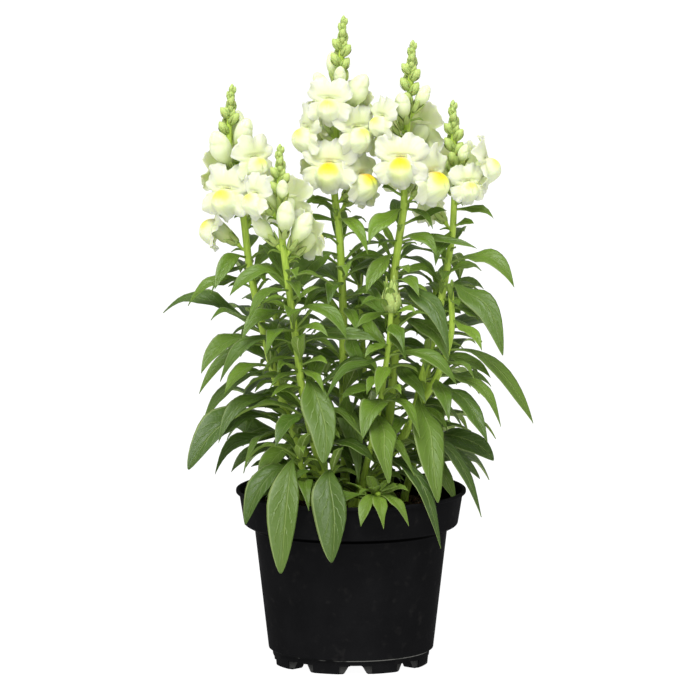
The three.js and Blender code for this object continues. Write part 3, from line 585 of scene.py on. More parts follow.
def pairs(ones, others, cost):
    """Every pair of two lists, the cheapest first."""
    return sorted(((one, other) for one in ones for other in others), key=lambda pair: cost(*pair))


# A leaf may turn and lift from where its row puts it; a bloom may turn and shift along its stem.
SWINGS = pairs(
    (0, 8, -8, 16, -16, 24, -24, 34, -34),
    (0, 8, -8, 16, -16, 24),
    lambda turn, lift: math.hypot(turn, 1.5 * lift),
)
BLOOM_CHOICES = pairs(
    (0, 8, -8, 16, -16, 24, -24, 32, -32, 40, -40),
    (0, 3, -3, 6, -6),
    lambda turn, shift: abs(turn) + 3 * abs(shift),
)


def swung_tip(root, tip, swing):
    reach = tip - root
    heading = math.degrees(math.atan2(reach[1], reach[0])) + swing[0]
    rise = math.degrees(math.atan2(reach[2], math.hypot(reach[0], reach[1]))) + swing[1]
    return root + direction(heading, rise) * np.linalg.norm(reach)


def inside_crown(tip):
    """Whether a leaf's tip keeps inside the plant's outline, as CROWN gives it."""
    heights, lefts, rights = zip(*CROWN)
    left, right = (np.interp(tip[2], heights, bounds) for bounds in (lefts, rights))
    return left < tip[0] < right and abs(tip[1]) < CROWN_DEPTH


class Stem:
    """A stem with its row of dimensions and all that grows on it."""

    def __init__(self, number, row):
        self.number, self.row = number, row
        self.name, self.routes, self.radius = row["name"], row["routes"], row["radius"]
        self.route = self.routes[0]
        self.top = self.route[-1][2]
        self.blooms = "flowers" in row
        self.leaves, self.crest, self.tufts = [], [], []
        self.flowers, self.buds, self.green_buds = [], [], []

    def rows(self, kind):
        return self.row.get(kind, ())

    def at(self, height):
        return point_at_height(self.route, height)


class Plant:
    """Every stem's leaves, flowers and buds, in the places that the part gives them."""

    def __init__(self):
        self.room = Room()
        self.draws = Draws(RANDOM_SEED)
        self.stems = [Stem(number, row) for number, row in enumerate(STEMS)]
        self.blooming = [stem for stem in self.stems if stem.blooms]
        for stem in self.stems:
            for route in stem.routes:
                self.room.add(stem_samples(route, stem.radius), stem.number)
        for stem in self.blooming:
            self.place_tip_buds(stem)
        for place in (self.place_blooms, self.place_crest, self.place_leaves, self.place_spread):
            for stem in self.stems:
                place(stem)

    def dress(self, draws):
        """Adds the small leaves and green buds that the part is too coarse to hold."""
        self.draws = draws
        for stem in self.blooming:
            self.place_lower_buds(stem)
        for stem in self.stems:
            for branch, route in enumerate(stem.routes):
                if branch > 0 or not (stem.blooms or stem.name == BUDDED_SHOOT):
                    self.place_top_leaves(stem, route)
        for stem in self.stems:
            self.place_fillers(stem)
        for stem in self.blooming:
            self.place_tufts(stem)

    def keep(self, shape, kept):
        self.room.add(shape.samples())
        kept.append(shape)

    def is_clear(self, stem, leaf):
        return self.room.clearance(leaf.samples(), stem.number, TUFT_CLEARANCE) >= TUFT_CLEARANCE

    def place_tip_buds(self, stem):
        for index in range(TIP_BUD_COUNT):
            root = stem.at(stem.top - 1 - TIP_BUD_SPACING * index)
            axis, length = direction(GOLDEN_ANGLE * index, 64 - 3 * index), 6.3 + 0.7 * index
            self.room.add(as_samples((root + axis * 0.6 * length)[None], 0.3 * length))
            stem.green_buds.append((root, axis, length))

    def place_lower_buds(self, stem):
        """The larger green buds, between those that the part holds and the white ones."""
        for index in range(LOWER_BUDS):
            root = stem.at(stem.top - TIP_BUD_SPACING * TIP_BUD_COUNT - LOWER_BUD_SPACING * index)
            axis = direction(GOLDEN_ANGLE * index + 200, 56)
            samples = as_samples(root + np.outer([0.45, 0.85], axis * LOWER_BUD_LENGTH), 2, [1, 0])
            if self.room.clearance(samples, stem.number, 0) >= 0:
                self.room.add(samples)
                stem.green_buds.append((root, axis, LOWER_BUD_LENGTH))

    def place_bloom(self, stem, shape, height, turn, form, enough, kept):
        """A flower or bud, turned and shifted along its stem to where it is clear."""
        bloom, _ = self.room.settle(
            BLOOM_CHOICES,
            lambda choice: shape(stem.at(height + choice[1]), turn + choice[0], *form),
            stem.number,
            enough,
        )
        self.keep(bloom, kept)

    def place_blooms(self, stem):
        for height, turn, size in stem.rows("flowers"):
            climb = math.sin(math.radians(TUBE_RISE)) * (TUBE_START + TUBE_LENGTH * size)
            foot = height - climb
            self.place_bloom(stem, Flower, foot, turn, [size], BLOOM_CLEARANCE, stem.flowers)
        for height, turn, length, rise in stem.rows("buds"):
            climb = math.sin(math.radians(rise)) * (BUD_START + length / 2)
            foot = height - climb
            self.place_bloom(stem, Bud, foot, turn, [length, rise], BUD_CLEARANCE, stem.buds)

    def place_crest(self, stem):
        for height, x, y, z, *form in stem.rows("crest"):
            self.keep(Leaf(stem.at(height), vector(x, y, z), *form), stem.crest)

    def clear_leaf(self, stem, root, tip, *form):
        """A leaf swung to where it is clear, and how clear it is there."""
        return self.room.settle(
            SWINGS,
            lambda swing: Leaf(root, swung_tip(root, tip, swing), *form),
            stem.number,
            LEAF_CLEARANCE,
        )

    def place_leaves(self, stem):
        rows = [(stem.route, row) for row in stem.rows("leaves")]
        rows += [(stem.routes[1], row) for row in stem.rows("branchLeaves")]
        for route, (height, x, y, z, *form) in rows:
            leaf, _ = self.clear_leaf(stem, point_at_height(route, height), vector(x, y, z), *form)
            self.keep(leaf, stem.leaves)

    def place_spread(self, stem):
        """The leaves that follow a rule, where they are clear and inside the crown."""
        low, high, count, longest, first = stem.rows("spread") or [0] * 5
        for i in range(count):
            part = (i + 0.5) / count
            root = stem.at(lerp(low, high, part))
            length = longest * (1.1 - 0.5 * part) * (0.85 + 0.3 * self.draws())
            rise = lerp(-14, 24, part) + 16 * (self.draws() - 0.5)
            tip = root + direction(first + GOLDEN_ANGLE * i, rise) * length
            width = length * (0.27 + 0.06 * self.draws())
            leaf, room = self.clear_leaf(stem, root, tip, width, 0.16 * length, 15)
            if room >= LEAF_CLEARANCE and inside_crown(leaf.tip):
                self.keep(leaf, stem.leaves)

    def place_fillers(self, stem):
        """Middling leaves low in the plant, where the part leaves room between its own."""
        for _ in range(FILLER_TRIES):
            height = lerp(FILLER_LOWEST, min(stem.top, FILLER_TOP) - 4, self.draws() ** 1.3)
            turn, rise = 360 * self.draws(), lerp(*FILLER_RISE, self.draws())
            length, slimness = lerp(*FILLER_LENGTH, self.draws()), lerp(*FILLER_SLIMNESS, self.draws())
            leaf = leaf_towards(stem.at(height), turn, rise, length, slimness, 0.17, 14)
            if inside_crown(leaf.tip) and self.is_clear(stem, leaf):
                self.keep(leaf, stem.tufts)

    def place_top_leaves(self, stem, route):
        """The youngest leaves, crowded round the top of a shoot that bears no flowers."""
        leaves = []
        for index in range(TOP_LEAVES):
            share = index / TOP_LEAVES
            root = point_at_height(route, route[-1][2] + 0.5 - 0.9 * index)
            length = lerp(*TOP_LEAF_LENGTH, share) * lerp(0.85, 1.1, self.draws())
            turn, rise = GOLDEN_ANGLE * index + 30 * self.draws(), lerp(*TOP_LEAF_RISE, share)
            leaves.append(leaf_towards(root, turn, rise, length, 0.29, 0.16, 12))
        for leaf in [leaf for leaf in leaves if self.is_clear(stem, leaf)]:
            self.keep(leaf, stem.tufts)

    def place_tufts(self, stem):
        """Small leaves in the axils below the flowers."""
        highest = min(flower.root[2] for flower in stem.flowers) - TUFT_BELOW_FLOWERS
        for height in np.arange(TUFT_LOWEST, highest, TUFT_SPACING):
            for _ in range(TUFT_LEAVES):
                turn, rise = 360 * self.draws(), lerp(*TUFT_RISE, self.draws())
                length = lerp(*TUFT_LENGTH, self.draws())
                root = stem.at(height + TUFT_SPACING * self.draws())
                leaf = leaf_towards(root, turn, rise, length, 0.27, 0.14, 12)
                if self.is_clear(stem, leaf):
                    self.keep(leaf, stem.tufts)


# ---- Skins ----
def ring_frame(axes):
    across = unit(np.cross((1, 0, 0), axes))
    return across, np.cross(axes, across)


def uv_grid(rows, columns):
    """Round by u and along by v, with one more column than the ring so that it closes."""
    u, v = np.meshgrid(np.linspace(0, 1, columns + 1), np.linspace(0, 1, rows))
    return np.stack([u, v], -1)


class Skin:
    """One piece's points and faces, gathered from lofts. Each point has a tone, four shares that
    its material reads."""

    def __init__(self):
        self.points, self.tones = [], []
        self.faces, self.uvs, self.slots = [], [], []
        self.count = 0

    def add_faces(self, faces, uvs, slots):
        self.faces.append(faces)
        self.uvs.append(uvs)
        self.slots.append(np.broadcast_to(slots, len(faces)))

    def loft(self, rings, tones=(0, 0, 0, 1), slots=0, uvs=None):
        """A closed skin over rings [ring, point, xyz], wound to the right about the way it runs."""
        rows, columns = rings.shape[:2]
        uvs = uv_grid(rows, columns) if uvs is None else uvs
        tones = np.broadcast_to(tones, (rows, columns, 4))
        first = self.count
        index = first + np.arange(rows * columns).reshape(rows, columns)
        index = np.concatenate([index, index[:, :1]], 1)
        near, far = slice(-1), slice(1, None)
        corners = ((near, near), (near, far), (far, far), (far, near))
        quads = np.stack([index[corner] for corner in corners], -1)
        quad_uvs = np.stack([uvs[corner] for corner in corners], 2)
        quad_slots = np.broadcast_to(slots, (rows - 1, columns))
        self.add_faces(quads.reshape(-1, 4), quad_uvs.reshape(-1, 4, 2), quad_slots.reshape(-1))
        self.points.append(rings.reshape(-1, 3))
        self.tones.append(tones.reshape(-1, 4))
        self.count += rows * columns
        for end, one, other in ((0, far, near), (-1, near, far)):
            self.points.append(rings[end].mean(0)[None])
            self.tones.append(tones[end].mean(0)[None])
            ring, uv = index[end], uvs[end]
            tris = np.column_stack([ring[one], ring[other], np.full(columns, self.count)])
            middle = np.broadcast_to(uv.mean(0), (columns, 2))
            self.add_faces(tris, np.stack([uv[one], uv[other], middle], 1), quad_slots[0])
            self.count += 1

    def tube(self, centres, radii, sides, tones=(0, 0, 0, 1), slots=0):
        across, beside = ring_frame(unit(np.gradient(centres, axis=0)))
        spokes = around(across[:, None], beside[:, None], full_turn(sides))
        radii = np.broadcast_to(radii, len(centres))
        self.loft(centres[:, None] + spokes * radii[:, None, None], tones, slots)

    def mesh(self, name, materials=()):
        mesh = bpy.data.meshes.new(name)
        faces = [face for batch in self.faces for face in batch.tolist()]
        mesh.from_pydata((np.concatenate(self.points) * MM).tolist(), [], faces)
        uv_layer = mesh.uv_layers.new(name="UVMap")
        uv_layer.data.foreach_set("uv", np.concatenate([uv.reshape(-1) for uv in self.uvs]))
        tone = mesh.color_attributes.new(name="tone", type="FLOAT_COLOR", domain="POINT")
        tone.data.foreach_set("color", np.concatenate(self.tones).reshape(-1))
        for material in materials:
            mesh.materials.append(material)
        mesh.polygons.foreach_set("material_index", np.concatenate(self.slots).astype(np.int32))
        mesh.shade_smooth()
        return mesh


def add_piece(name, mesh, node):
    piece = bpy.data.objects.new(name, mesh)
    bpy.context.scene.collection.objects.link(piece)
    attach(piece, "root")
    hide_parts(node)


# ---- Green growth ----
# The slots of a green piece's materials.
STEM, LEAF_TOP, LEAF_BACK, SEPAL = range(4)


def blade_outline(t, leaf):
    """The solid leaf's outline, drawn in to a stalk at the root, broadest further out on a blade
    that arches over, and fuller towards the tip on a wide one."""
    placed = t ** (LEAF_BROADEST + ARCHED_BROADEST * max(0, leaf.arch - FLAT_ARCH))
    tip_fullness = lerp(SLIM_TIP_FULLNESS, WIDE_TIP_FULLNESS, smoothstep(SLIM_WIDTH, WIDE_WIDTH, leaf.width))
    return np.abs(hump(placed)) ** np.where(placed < 0.5, BLADE_ROOT_FULLNESS, tip_fullness)


def add_leaf(skin, leaf, youth, draws):
    """A thin blade with a keel, its margins waved and its tip a little curled and turned."""
    rows = 9 if leaf.length < SMALL_LEAF else 21
    across = np.concatenate([LEAF_ACROSS, LEAF_ACROSS[-2:0:-1]])
    place, top_points = np.arange(len(across)), len(LEAF_ACROSS)
    t = 0.998 * (0.5 - 0.5 * np.cos(np.pi * np.linspace(0, 1, rows)))
    middle, side, face, _ = leaf.at(t)
    stalk = np.where(t < 0.5, 0.75 * PETIOLE_HALF_WIDTH, 0)
    slimness = lerp(SLIM_BLADE, 1, smoothstep(SLIM_WIDTH, BROAD_WIDTH, leaf.width))
    half = np.maximum(stalk, slimness * leaf.width / 2 * blade_outline(t, leaf))
    bow, twist, curl = draws() - 0.5, draws() - 0.5, draws()
    side, face = rolled(side, face, np.radians(LEAF_TWIST * twist * t**1.5)[:, None])
    sway = leaf.length * LEAF_SWAY * (bow * hump(t) + 0.35 * hump(3 * t) * twist)
    middle = middle + side * sway[:, None]
    middle[:, 2] -= leaf.length * LEAF_CURL * curl * t**4
    middle[:, 2] -= leaf.length * LEAF_WAVE * (draws() - 0.25) * hump(2 * t) * t
    t, half = t[:, None], half[:, None]
    half = np.where(half > PETIOLE_HALF_WIDTH, half * (1 + 0.05 * np.sin(9 * t + 7 * bow)), half)
    wave_count = 1.4 + 2 * draws()
    phase = 2 * np.pi * draws()
    skew = 2 * np.pi * draws() * np.sign(across)
    wave = 0.13 * across**2 * np.sin(2 * np.pi * wave_count * t + phase + skew) * hump(t)
    camber = 0.1 * hump(np.abs(across)) * hump(t)
    fold = LEAF_FOLD * (np.sqrt(across**2 + 0.01) - 0.1)
    thick = lerp(0.36, 0.17, np.abs(across)) * (1 - 0.4 * t)
    keel = 0.55 * bell(across, 0.12) * (1 - 0.75 * t)
    lift = half * (wave + camber + fold) + np.where(place < top_points, thick, -thick - keel)
    rings = middle[:, None] + side[:, None] * (across * half)[..., None] + face[:, None] * lift[..., None]
    tones = np.ones((rows, len(across), 4))
    tones[..., 0] = np.clip(youth + (1 - youth) * np.exp(-t * leaf.length / 4), 0, 1)
    tones[..., 1] = draws()
    tones[..., 2] = min(1, leaf.length / 60)
    closed = (np.append(across, across[0]) + 1) / 2
    uvs = np.stack(np.broadcast_arrays(closed, t), -1)
    slots = np.where(place < top_points - 1, LEAF_TOP, LEAF_BACK)
    skin.loft(rings[:, ::-1], tones[:, ::-1], slots[::-1], uvs[:, ::-1])


def add_husk(skin, base, axis, turn, length, half_angle, radius_at, tone, thick=0.4, rows=7):
    """A small pointed blade that lies round an axis, as a sepal does."""
    across = np.array([-1, -0.55, 0, 0.55, 1, 0.55, 0, -0.55])
    outside = np.array([0, 1, 1, 1, 0, -1, -1, -1])
    along = np.linspace(0, 0.995, rows)[:, None]
    width = hump(along**0.62) ** 0.7 + 0.25 * (1 - along) ** 3
    angle = math.radians(turn) + across * math.radians(half_angle) * width
    radius = radius_at(along) + outside * thick / 2 * (1.05 - along)
    spokes = around(*ring_frame(axis), angle)
    rings = base + axis * (along * length)[..., None] + spokes * radius[..., None]
    tones = np.broadcast_to(tone, (rows, len(across), 4)).copy()
    tones[..., 2] = along
    skin.loft(rings, tones, SEPAL)


def add_stem(skin, route, radius, rooted):
    foot, top = route[0][2], route[-1][2]
    heights = np.linspace(foot, top, max(4, int((top - foot) / 3.5)))
    centres = np.array([point_at_height(route, h) for h in heights])
    for _ in range(3):
        centres[1:-1] = (centres[:-2] + 2 * centres[1:-1] + centres[2:]) / 4
    radii = np.interp(heights, [point[2] for point in route], lerp(*radius, np.linspace(0, 1, len(route))))
    if rooted:
        centres = np.vstack([centres[0] * (1, 1, 0) + (0, 0, STEM_FOOT), centres])
        radii = np.append(radii[0], radii)
    run = unit(centres[-1] - centres[-2])
    rounding = np.array([0.45, 0.8, 0.97])
    centres = np.vstack([centres, centres[-1] + run * rounding[:, None] * radius[1]])
    radii = np.append(radii, radius[1] * np.sqrt(1 - rounding**2))
    tones = np.ones((len(centres), 12, 4))
    tones[..., 0] = np.clip((centres[:, 2] - 80) / 220, 0, 1)[:, None]
    skin.tube(centres, radii, 12, tones, STEM)


def add_calyx(skin, bloom, draws):
    """A stalk, its bract and the five sepals round the base of a corolla."""
    axis, foot = bloom.axis, bloom.start - bloom.axis * CALYX_DEPTH
    along = np.linspace(0, 1, 6)[:, None]
    stalk = bloom.root + along * (foot - bloom.root) + vector(0, 0, -0.7) * hump(along)
    young = (0.75, draws(), 0, 1)
    skin.tube(stalk, [0.95, 0.8, 0.75, 0.8, 1, 1.5], 8, young, STEM)
    cup = np.linspace(0, 2.2, 5)
    skin.tube(foot + np.outer(cup, axis), [1.5, 2.1, 2.5, 2.5, 1.2], 10, young, SEPAL)
    start = 360 * draws()
    for i in range(SEPAL_COUNT):
        add_husk(
            skin, foot, axis, start + 360 / SEPAL_COUNT * i, SEPAL_LENGTH + draws(), SEPAL_HALF_ANGLE,
            lambda s: 1.6 + 2.0 * np.sqrt(s) + 0.5 * s**4, (0.6, draws(), 0, 1),
        )
    turn = math.degrees(math.atan2(axis[1], axis[0]))
    tip = bloom.root + direction(turn + 10 * draws() - 5, 4) * BRACT_LENGTH
    add_leaf(skin, Leaf(bloom.root, tip, BRACT_WIDTH, 1, 0), 0.7, draws)


def add_green_bud(skin, root, axis, length, draws):
    """A closed green bud between the five sepals that hold its lower part."""
    along = np.linspace(0, 1, 10)
    swell = GREEN_BUD_SLIMNESS * length * hump(np.clip(along, 0.04, 0.99) ** 1.15) ** 0.6
    least = np.where(along < 0.3, 0.09 * length, 0)
    middle = root + np.outer(along * length, axis)
    skin.tube(middle, np.maximum(swell, least), 10, (1, draws(), 0.9, 1), SEPAL)
    start = 360 * draws()
    for i in range(SEPAL_COUNT):
        add_husk(
            skin, root + axis * 0.12 * length, axis, start + 360 / SEPAL_COUNT * i, 0.66 * length, 30,
            lambda s: (GREEN_BUD_SLIMNESS + 0.045) * length * hump((0.16 + 0.62 * s) ** 1.1) ** 0.6,
            (0.3, draws(), 0, 1), thick=0.3,
        )


def add_ear(skin, stem, draws):
    """The smallest buds, which crowd the very top of a flowering stem."""
    for index in range(EAR_BUDS):
        root = stem.at(stem.top + 0.5 - EAR_SPACING * index)
        axis = direction(GOLDEN_ANGLE * index + 70, lerp(84, 62, index / EAR_BUDS))
        add_green_bud(skin, root, axis, 4.2 + 0.13 * index, draws)


def add_crown_bud(skin, foot, draws):
    """The closed bud of young leaves at the top of the front shoot."""
    up = vector(0, 0, 1)
    along = np.linspace(0, 1, 10)
    core = 3.6 * hump((0.08 + 0.86 * along) ** 0.8) ** 0.8
    skin.tube(foot + np.outer(13 * along, up), core, 14, (0.5, 0.4, 0.5, 1), SEPAL)
    for whorl, (radius, length) in enumerate(CROWN_WHORLS):
        for i in range(CROWN_HUSKS):
            turn = 360 / CROWN_HUSKS * i + 25 * whorl + 12 * draws()
            add_husk(
                skin, foot, up, turn, length * lerp(0.9, 1.08, draws()), 42,
                lambda s: radius * hump((0.08 + 0.8 * s) ** 0.85) ** 0.8 + 1.6 * s**4,
                (0.4, draws(), 0, 1), thick=0.5, rows=11,
            )


# ---- Corollas ----
def lobe_outline(angles, phases):
    """How far the petals reach beyond the throat, with soft clefts and a ragged margin."""
    total = np.full(len(angles), GAP_REACH**8.0)
    for middle, half_angle, length in PETAL_LOBES:
        off = np.abs((angles - middle + 540) % 360 - 180) / half_angle
        full = np.clip(1 - off**PETAL_FULLNESS, 0, 1) ** (1 / PETAL_FULLNESS)
        total = total + (length * full) ** 8
    ragged = 1
    for share, count, phase in zip((0.05, 0.032, 0.021), (7, 13, 31), phases):
        ragged = ragged + share * np.sin(count * np.radians(angles) + phase)
    return total**0.125 * ragged


def palate_share(x, y):
    """How far each place of the face belongs to the swollen palate, and how far it stands out."""
    inside = 1 - (x / PALATE_WIDTH) ** 2 - ((y - PALATE_MIDDLE) / PALATE_HEIGHT) ** 2
    groove = 1 - 0.28 * bell(x, 1.3) * smoothstep(-8, 0, y)
    puff = PALATE_PUFF * np.clip(inside, 0, 1) ** 0.66 * groove
    mouth = 3 * bell(y - 4.2, 0.8) * bell(x, 5.5)
    return np.clip(inside, 0, 1), puff - 0.45 * bell(inside, 0.2) - mouth


def add_corolla(skin, flower, draws):
    """One skin: up the outside of the tube, out along the backs of the petals and in over their
    faces and the palate."""
    angles = np.arange(LIMB_COLUMNS) * 360 / LIMB_COLUMNS
    turn = np.radians(angles)
    phases = [2 * np.pi * draws() for _ in range(6)]
    upper = smoothstep(-0.3, 0.3, np.sin(turn))
    lobe = lobe_outline(angles, phases)
    spread = around(flower.beside, flower.upward, turn)
    level = unit(spread - (spread @ flower.axis)[:, None] * flower.axis)
    rings, tones = [], []
    random_tone = draws()

    def add_ring(points, yellow, orange, green):
        rings.append(points)
        shares = (yellow, orange, green, random_tone)
        tones.append(np.stack([np.broadcast_to(share, LIMB_COLUMNS) for share in shares], -1))

    for s in np.linspace(0, 0.94, 11):
        middle = lerp(flower.start, flower.throat, s)
        belly = 1.1 * hump(s) + 0.9 * np.maximum(0, -np.sin(turn)) * bell(s - 0.3, 0.2)
        ribs = 0.12 * np.cos(5 * turn) * hump(s)
        radius = lerp(TUBE_BASE_RADIUS, THROAT_RADIUS * flower.size, s) + belly + ribs
        outward = unit(lerp(level, spread, smoothstep(0.5, 1, s)))
        add_ring(middle + outward * radius[:, None], 0, 0, 0.95 * (1 - s) ** 1.2)

    # The upper lip stands up and turns back at its sides; the lower one falls back under the palate.
    bulge = lerp(0.9, 0.5, upper)
    edge = lerp(-1.0 - 3.2 * np.sin(turn) ** 2, 0.2 - 2.2 * np.cos(turn) ** 2, upper)

    def back(u):
        frill = sum(a * np.sin(n * turn + p) * u**grow for (a, n, grow), p in zip(FRILLS, phases[3:]))
        return edge * u**1.6 + 4 * bulge * u * (1 - u) * (1 - 0.35 * u) + frill * lobe / 11

    def face(reach, ahead):
        x, y = reach * np.cos(turn), reach * np.sin(turn)
        inside, puff = palate_share(x, y)
        ripe = flower.maturity
        yellow = smoothstep(-0.1, 0.75, inside) * lerp(0.22, 1, smoothstep(-5, 2.2, y)) * ripe
        orange = bell(y - 2.4, 2) * bell(x, 4) * (inside > 0) * ripe**3
        # A greenish tint on the faces round the throat: partly the petals' own green, partly painted shade in
        # the throat.
        throat_green_and_shade = 0.3 * bell(reach - THROAT_RADIUS - 2, 4) * (inside <= 0)
        add_ring(flower.limb(angles, reach, ahead + puff), yellow, orange, throat_green_and_shade)

    outer = np.linspace(0, 1, 13)
    # The backs of the petals turn greenish towards the tube: partly their own green, partly painted shade at
    # their base.
    for u in outer:
        add_ring(flower.limb(angles, THROAT_RADIUS + lobe * u, back(u)), 0, 0, 0.35 * (1 - u))
    for u in outer[::-1]:
        face(THROAT_RADIUS + lobe * u, back(u) + lerp(0.8, 0.16, u))
    for share in (0.9, 0.8, 0.7, 0.58, 0.45, 0.3, 0.14):
        face(THROAT_RADIUS * share, 1 + 0.6 * (1 - share))
    skin.loft(np.array(rings), np.array(tones))


def add_closed_corolla(skin, bud, draws):
    """A bud's folded lips: the upper one lies over the lower along a slanting crease."""
    rows, columns = 30, 52
    s = np.linspace(0.002, 0.998, rows)[:, None]
    turn = full_turn(columns)
    out = direction(bud.turn, 0)
    front = unit(out - (out @ bud.axis) * bud.axis)
    facing = np.cos(turn)
    aslant = lerp(-0.1, 0.1, draws())
    radius = np.maximum(0.24 * hump(s**1.2) ** 0.55, np.where(s < 0.3, 0.07, 0)) * bud.length
    mouth = 0.66 + 0.1 * facing + aslant * np.sin(turn)
    crease = bell(s - mouth, 0.03) * smoothstep(-0.2, 0.6, facing)
    seam = bell(np.minimum(turn, 2 * np.pi - turn), 0.14) * smoothstep(0.02, 0.1, s - mouth)
    for fold in (1.25, 2 * np.pi - 1.25, 2.5, 2 * np.pi - 2.5):
        seam = seam + 0.8 * bell(turn - fold - 0.5 * (s - 0.7), 0.17) * smoothstep(0.35, 0.75, s)
    pout = 0.03 * bud.length * bell(s - 0.5, 0.15) * np.maximum(0, facing)
    sunk = 0.022 * crease + 0.016 * seam * smoothstep(1, 0.86, s)
    radius = radius + pout - sunk * bud.length
    spokes = around(front, np.cross(bud.axis, front), turn)
    rings = bud.start + bud.axis * (s * bud.length)[..., None] + spokes * radius[..., None]
    tones = np.zeros((rows, columns, 4))
    unripe = max(0, 0.3 - bud.length / 60)
    # Green towards the calyx, with painted greenish shade added in the crease and along the seams.
    tones[..., 2] = np.clip(0.95 * (1 - s / 0.62), 0, 1) + 0.2 * crease + 0.14 * seam + unripe
    tones[..., 3] = draws()
    skin.loft(rings, tones)


# ---- Pot and soil ----
def rounded(corners):
    """A profile of [radius, height, rounding] with its inner corners turned into short arcs."""
    roundings = [corner[2] for corner in corners]
    corners = [np.array(corner[:2], float) for corner in corners]
    points = [corners[0]]
    for before, corner, after, rounding in zip(corners, corners[1:], corners[2:], roundings[1:]):
        one, other = unit(before - corner), unit(after - corner)
        half = math.acos(np.clip(one @ other, -1, 1)) / 2
        shorter = min(np.linalg.norm(before - corner), np.linalg.norm(after - corner))
        reach = min(rounding / math.tan(half), 0.45 * shorter)
        start, end = corner + one * reach, corner + other * reach
        for t in np.linspace(0, 1, 5):
            points.append(lerp(lerp(start, corner, t), lerp(corner, end, t), t))
    return points + [corners[-1]]


def lathed(profile, segments):
    """Rings round the axis from [radius, height] pairs that run up the outside of a solid."""
    turn = full_turn(segments)
    radius, height = np.array(profile, float).T[..., None]
    return np.stack(np.broadcast_arrays(radius * np.cos(turn), radius * np.sin(turn), height), -1)


def cut(mesh, cutter, name):
    """What is left of a mesh once a cutter is taken out of it."""
    body = bpy.data.objects.new(name, mesh)
    tool = bpy.data.objects.new(name + "_cutter", cutter.mesh(name + "_cutter"))
    for part in (body, tool):
        bpy.context.scene.collection.objects.link(part)
    modifier = body.modifiers.new("cut", "BOOLEAN")
    modifier.operation = "DIFFERENCE"
    modifier.solver = "EXACT"
    modifier.object = tool
    bpy.context.view_layer.update()
    evaluated = body.evaluated_get(bpy.context.evaluated_depsgraph_get())
    result = bpy.data.meshes.new_from_object(evaluated)
    result.name = name
    for part in (body, tool):
        bpy.data.objects.remove(part)
    return result


def add_blocks(skin, outline, inner, outer):
    """A cutter at every notch, with an outline [across, height], from one radius to another."""
    for turn in FRONT_NOTCH + 360 * np.arange(NOTCH_COUNT) / NOTCH_COUNT:
        out, beside = direction(turn, 0), direction(turn + 90, 0)
        rings = [[out * r + beside * a + vector(0, 0, h) for a, h in outline] for r in (inner, outer)]
        skin.loft(np.array(rings))


def upright(half, top):
    """The outline of a plain block, open downwards past the foot."""
    return [(-half, top), (-half, CUT_BELOW), (half, CUT_BELOW), (half, top)]


def make_pot(material):
    lip_inside = RIM_RADIUS - LIP
    pot = Skin()
    pot.loft(lathed(rounded([
        (AXIS_RADIUS, FLOOR_UNDERSIDE, 0),
        (FOOT_HOLLOW_RADIUS, FLOOR_UNDERSIDE, 0.8),
        (FOOT_HOLLOW_RADIUS, 0, 0.4),
        (FOOT_RADIUS, 0, 0.6),
        (FOOT_RADIUS + 0.7, SHOULDER_HEIGHT - 0.9, 1.2),
        (SHOULDER_RADIUS, SHOULDER_HEIGHT, 0.8),
        (BODY_RADIUS, BODY_TOP, 1.6),
        (COLLAR_RADIUS, COLLAR_FOOT, 1.8),
        (lip_inside, POT_HEIGHT - 2.2, 0.5),
        (RIM_RADIUS, POT_HEIGHT - 1.6, 0.5),
        (RIM_RADIUS, POT_HEIGHT, 0.6),
        (lip_inside, POT_HEIGHT, 0.6),
        (lip_inside - 1.3, POT_HEIGHT - 3, 1),
        (COLLAR_RADIUS - WALL, COLLAR_FOOT + 1.2, 1),
        (BODY_RADIUS - WALL, BODY_TOP + 1.2, 1),
        (SHOULDER_RADIUS - WALL, SHOULDER_HEIGHT + 0.5, 1),
        (FLOOR_RADIUS, FLOOR_TOP, 0.6),
        (AXIS_RADIUS, FLOOR_TOP, 0),
    ]), POT_SEGMENTS))
    notches, pockets, drains = Skin(), Skin(), Skin()
    side = []
    for a in np.linspace(0, 1.2, 6):
        inwards, down = NOTCH_ROUNDING * (1 - math.sin(a)), NOTCH_ROUNDING * (1 - math.cos(a))
        side.append((NOTCH_WIDTH / 2 - inwards, FOOT_HEIGHT - down))
    side += [(NOTCH_FLARE / 2 - 0.8, 0.6), (NOTCH_FLARE / 2, 0), (NOTCH_FLARE / 2 + 1, CUT_BELOW)]
    notch = [(-across, height) for across, height in side] + side[::-1]
    add_blocks(notches, notch, FOOT_HOLLOW_RADIUS - 2, FOOT_RADIUS + 6)
    add_blocks(pockets, upright(POCKET_HALF, POCKET_HEIGHT), FOOT_RADIUS - POCKET_DEPTH, FOOT_RADIUS + 6)
    add_blocks(drains, upright(DRAIN_WIDTH / 2, 12), DRAIN_INNER_RADIUS, FOOT_HOLLOW_RADIUS - 3)
    mesh = pot.mesh("pot_blank", [material])
    for cutter, name in ((notches, "pot_notched"), (pockets, "pot_pocketed"), (drains, "pot_plastic_body")):
        mesh = cut(mesh, cutter, name)
    mesh.shade_smooth()
    mesh.set_sharp_from_angle(angle=math.radians(34))
    return mesh


def soil_height(x, y, phases):
    ripple = sum(
        math.sin(0.21 * k * x + phases[k]) * math.cos(0.19 * k * y + phases[k + 5]) / k for k in range(1, 5)
    )
    return SOIL_HEIGHT - 0.9 + 0.75 * ripple


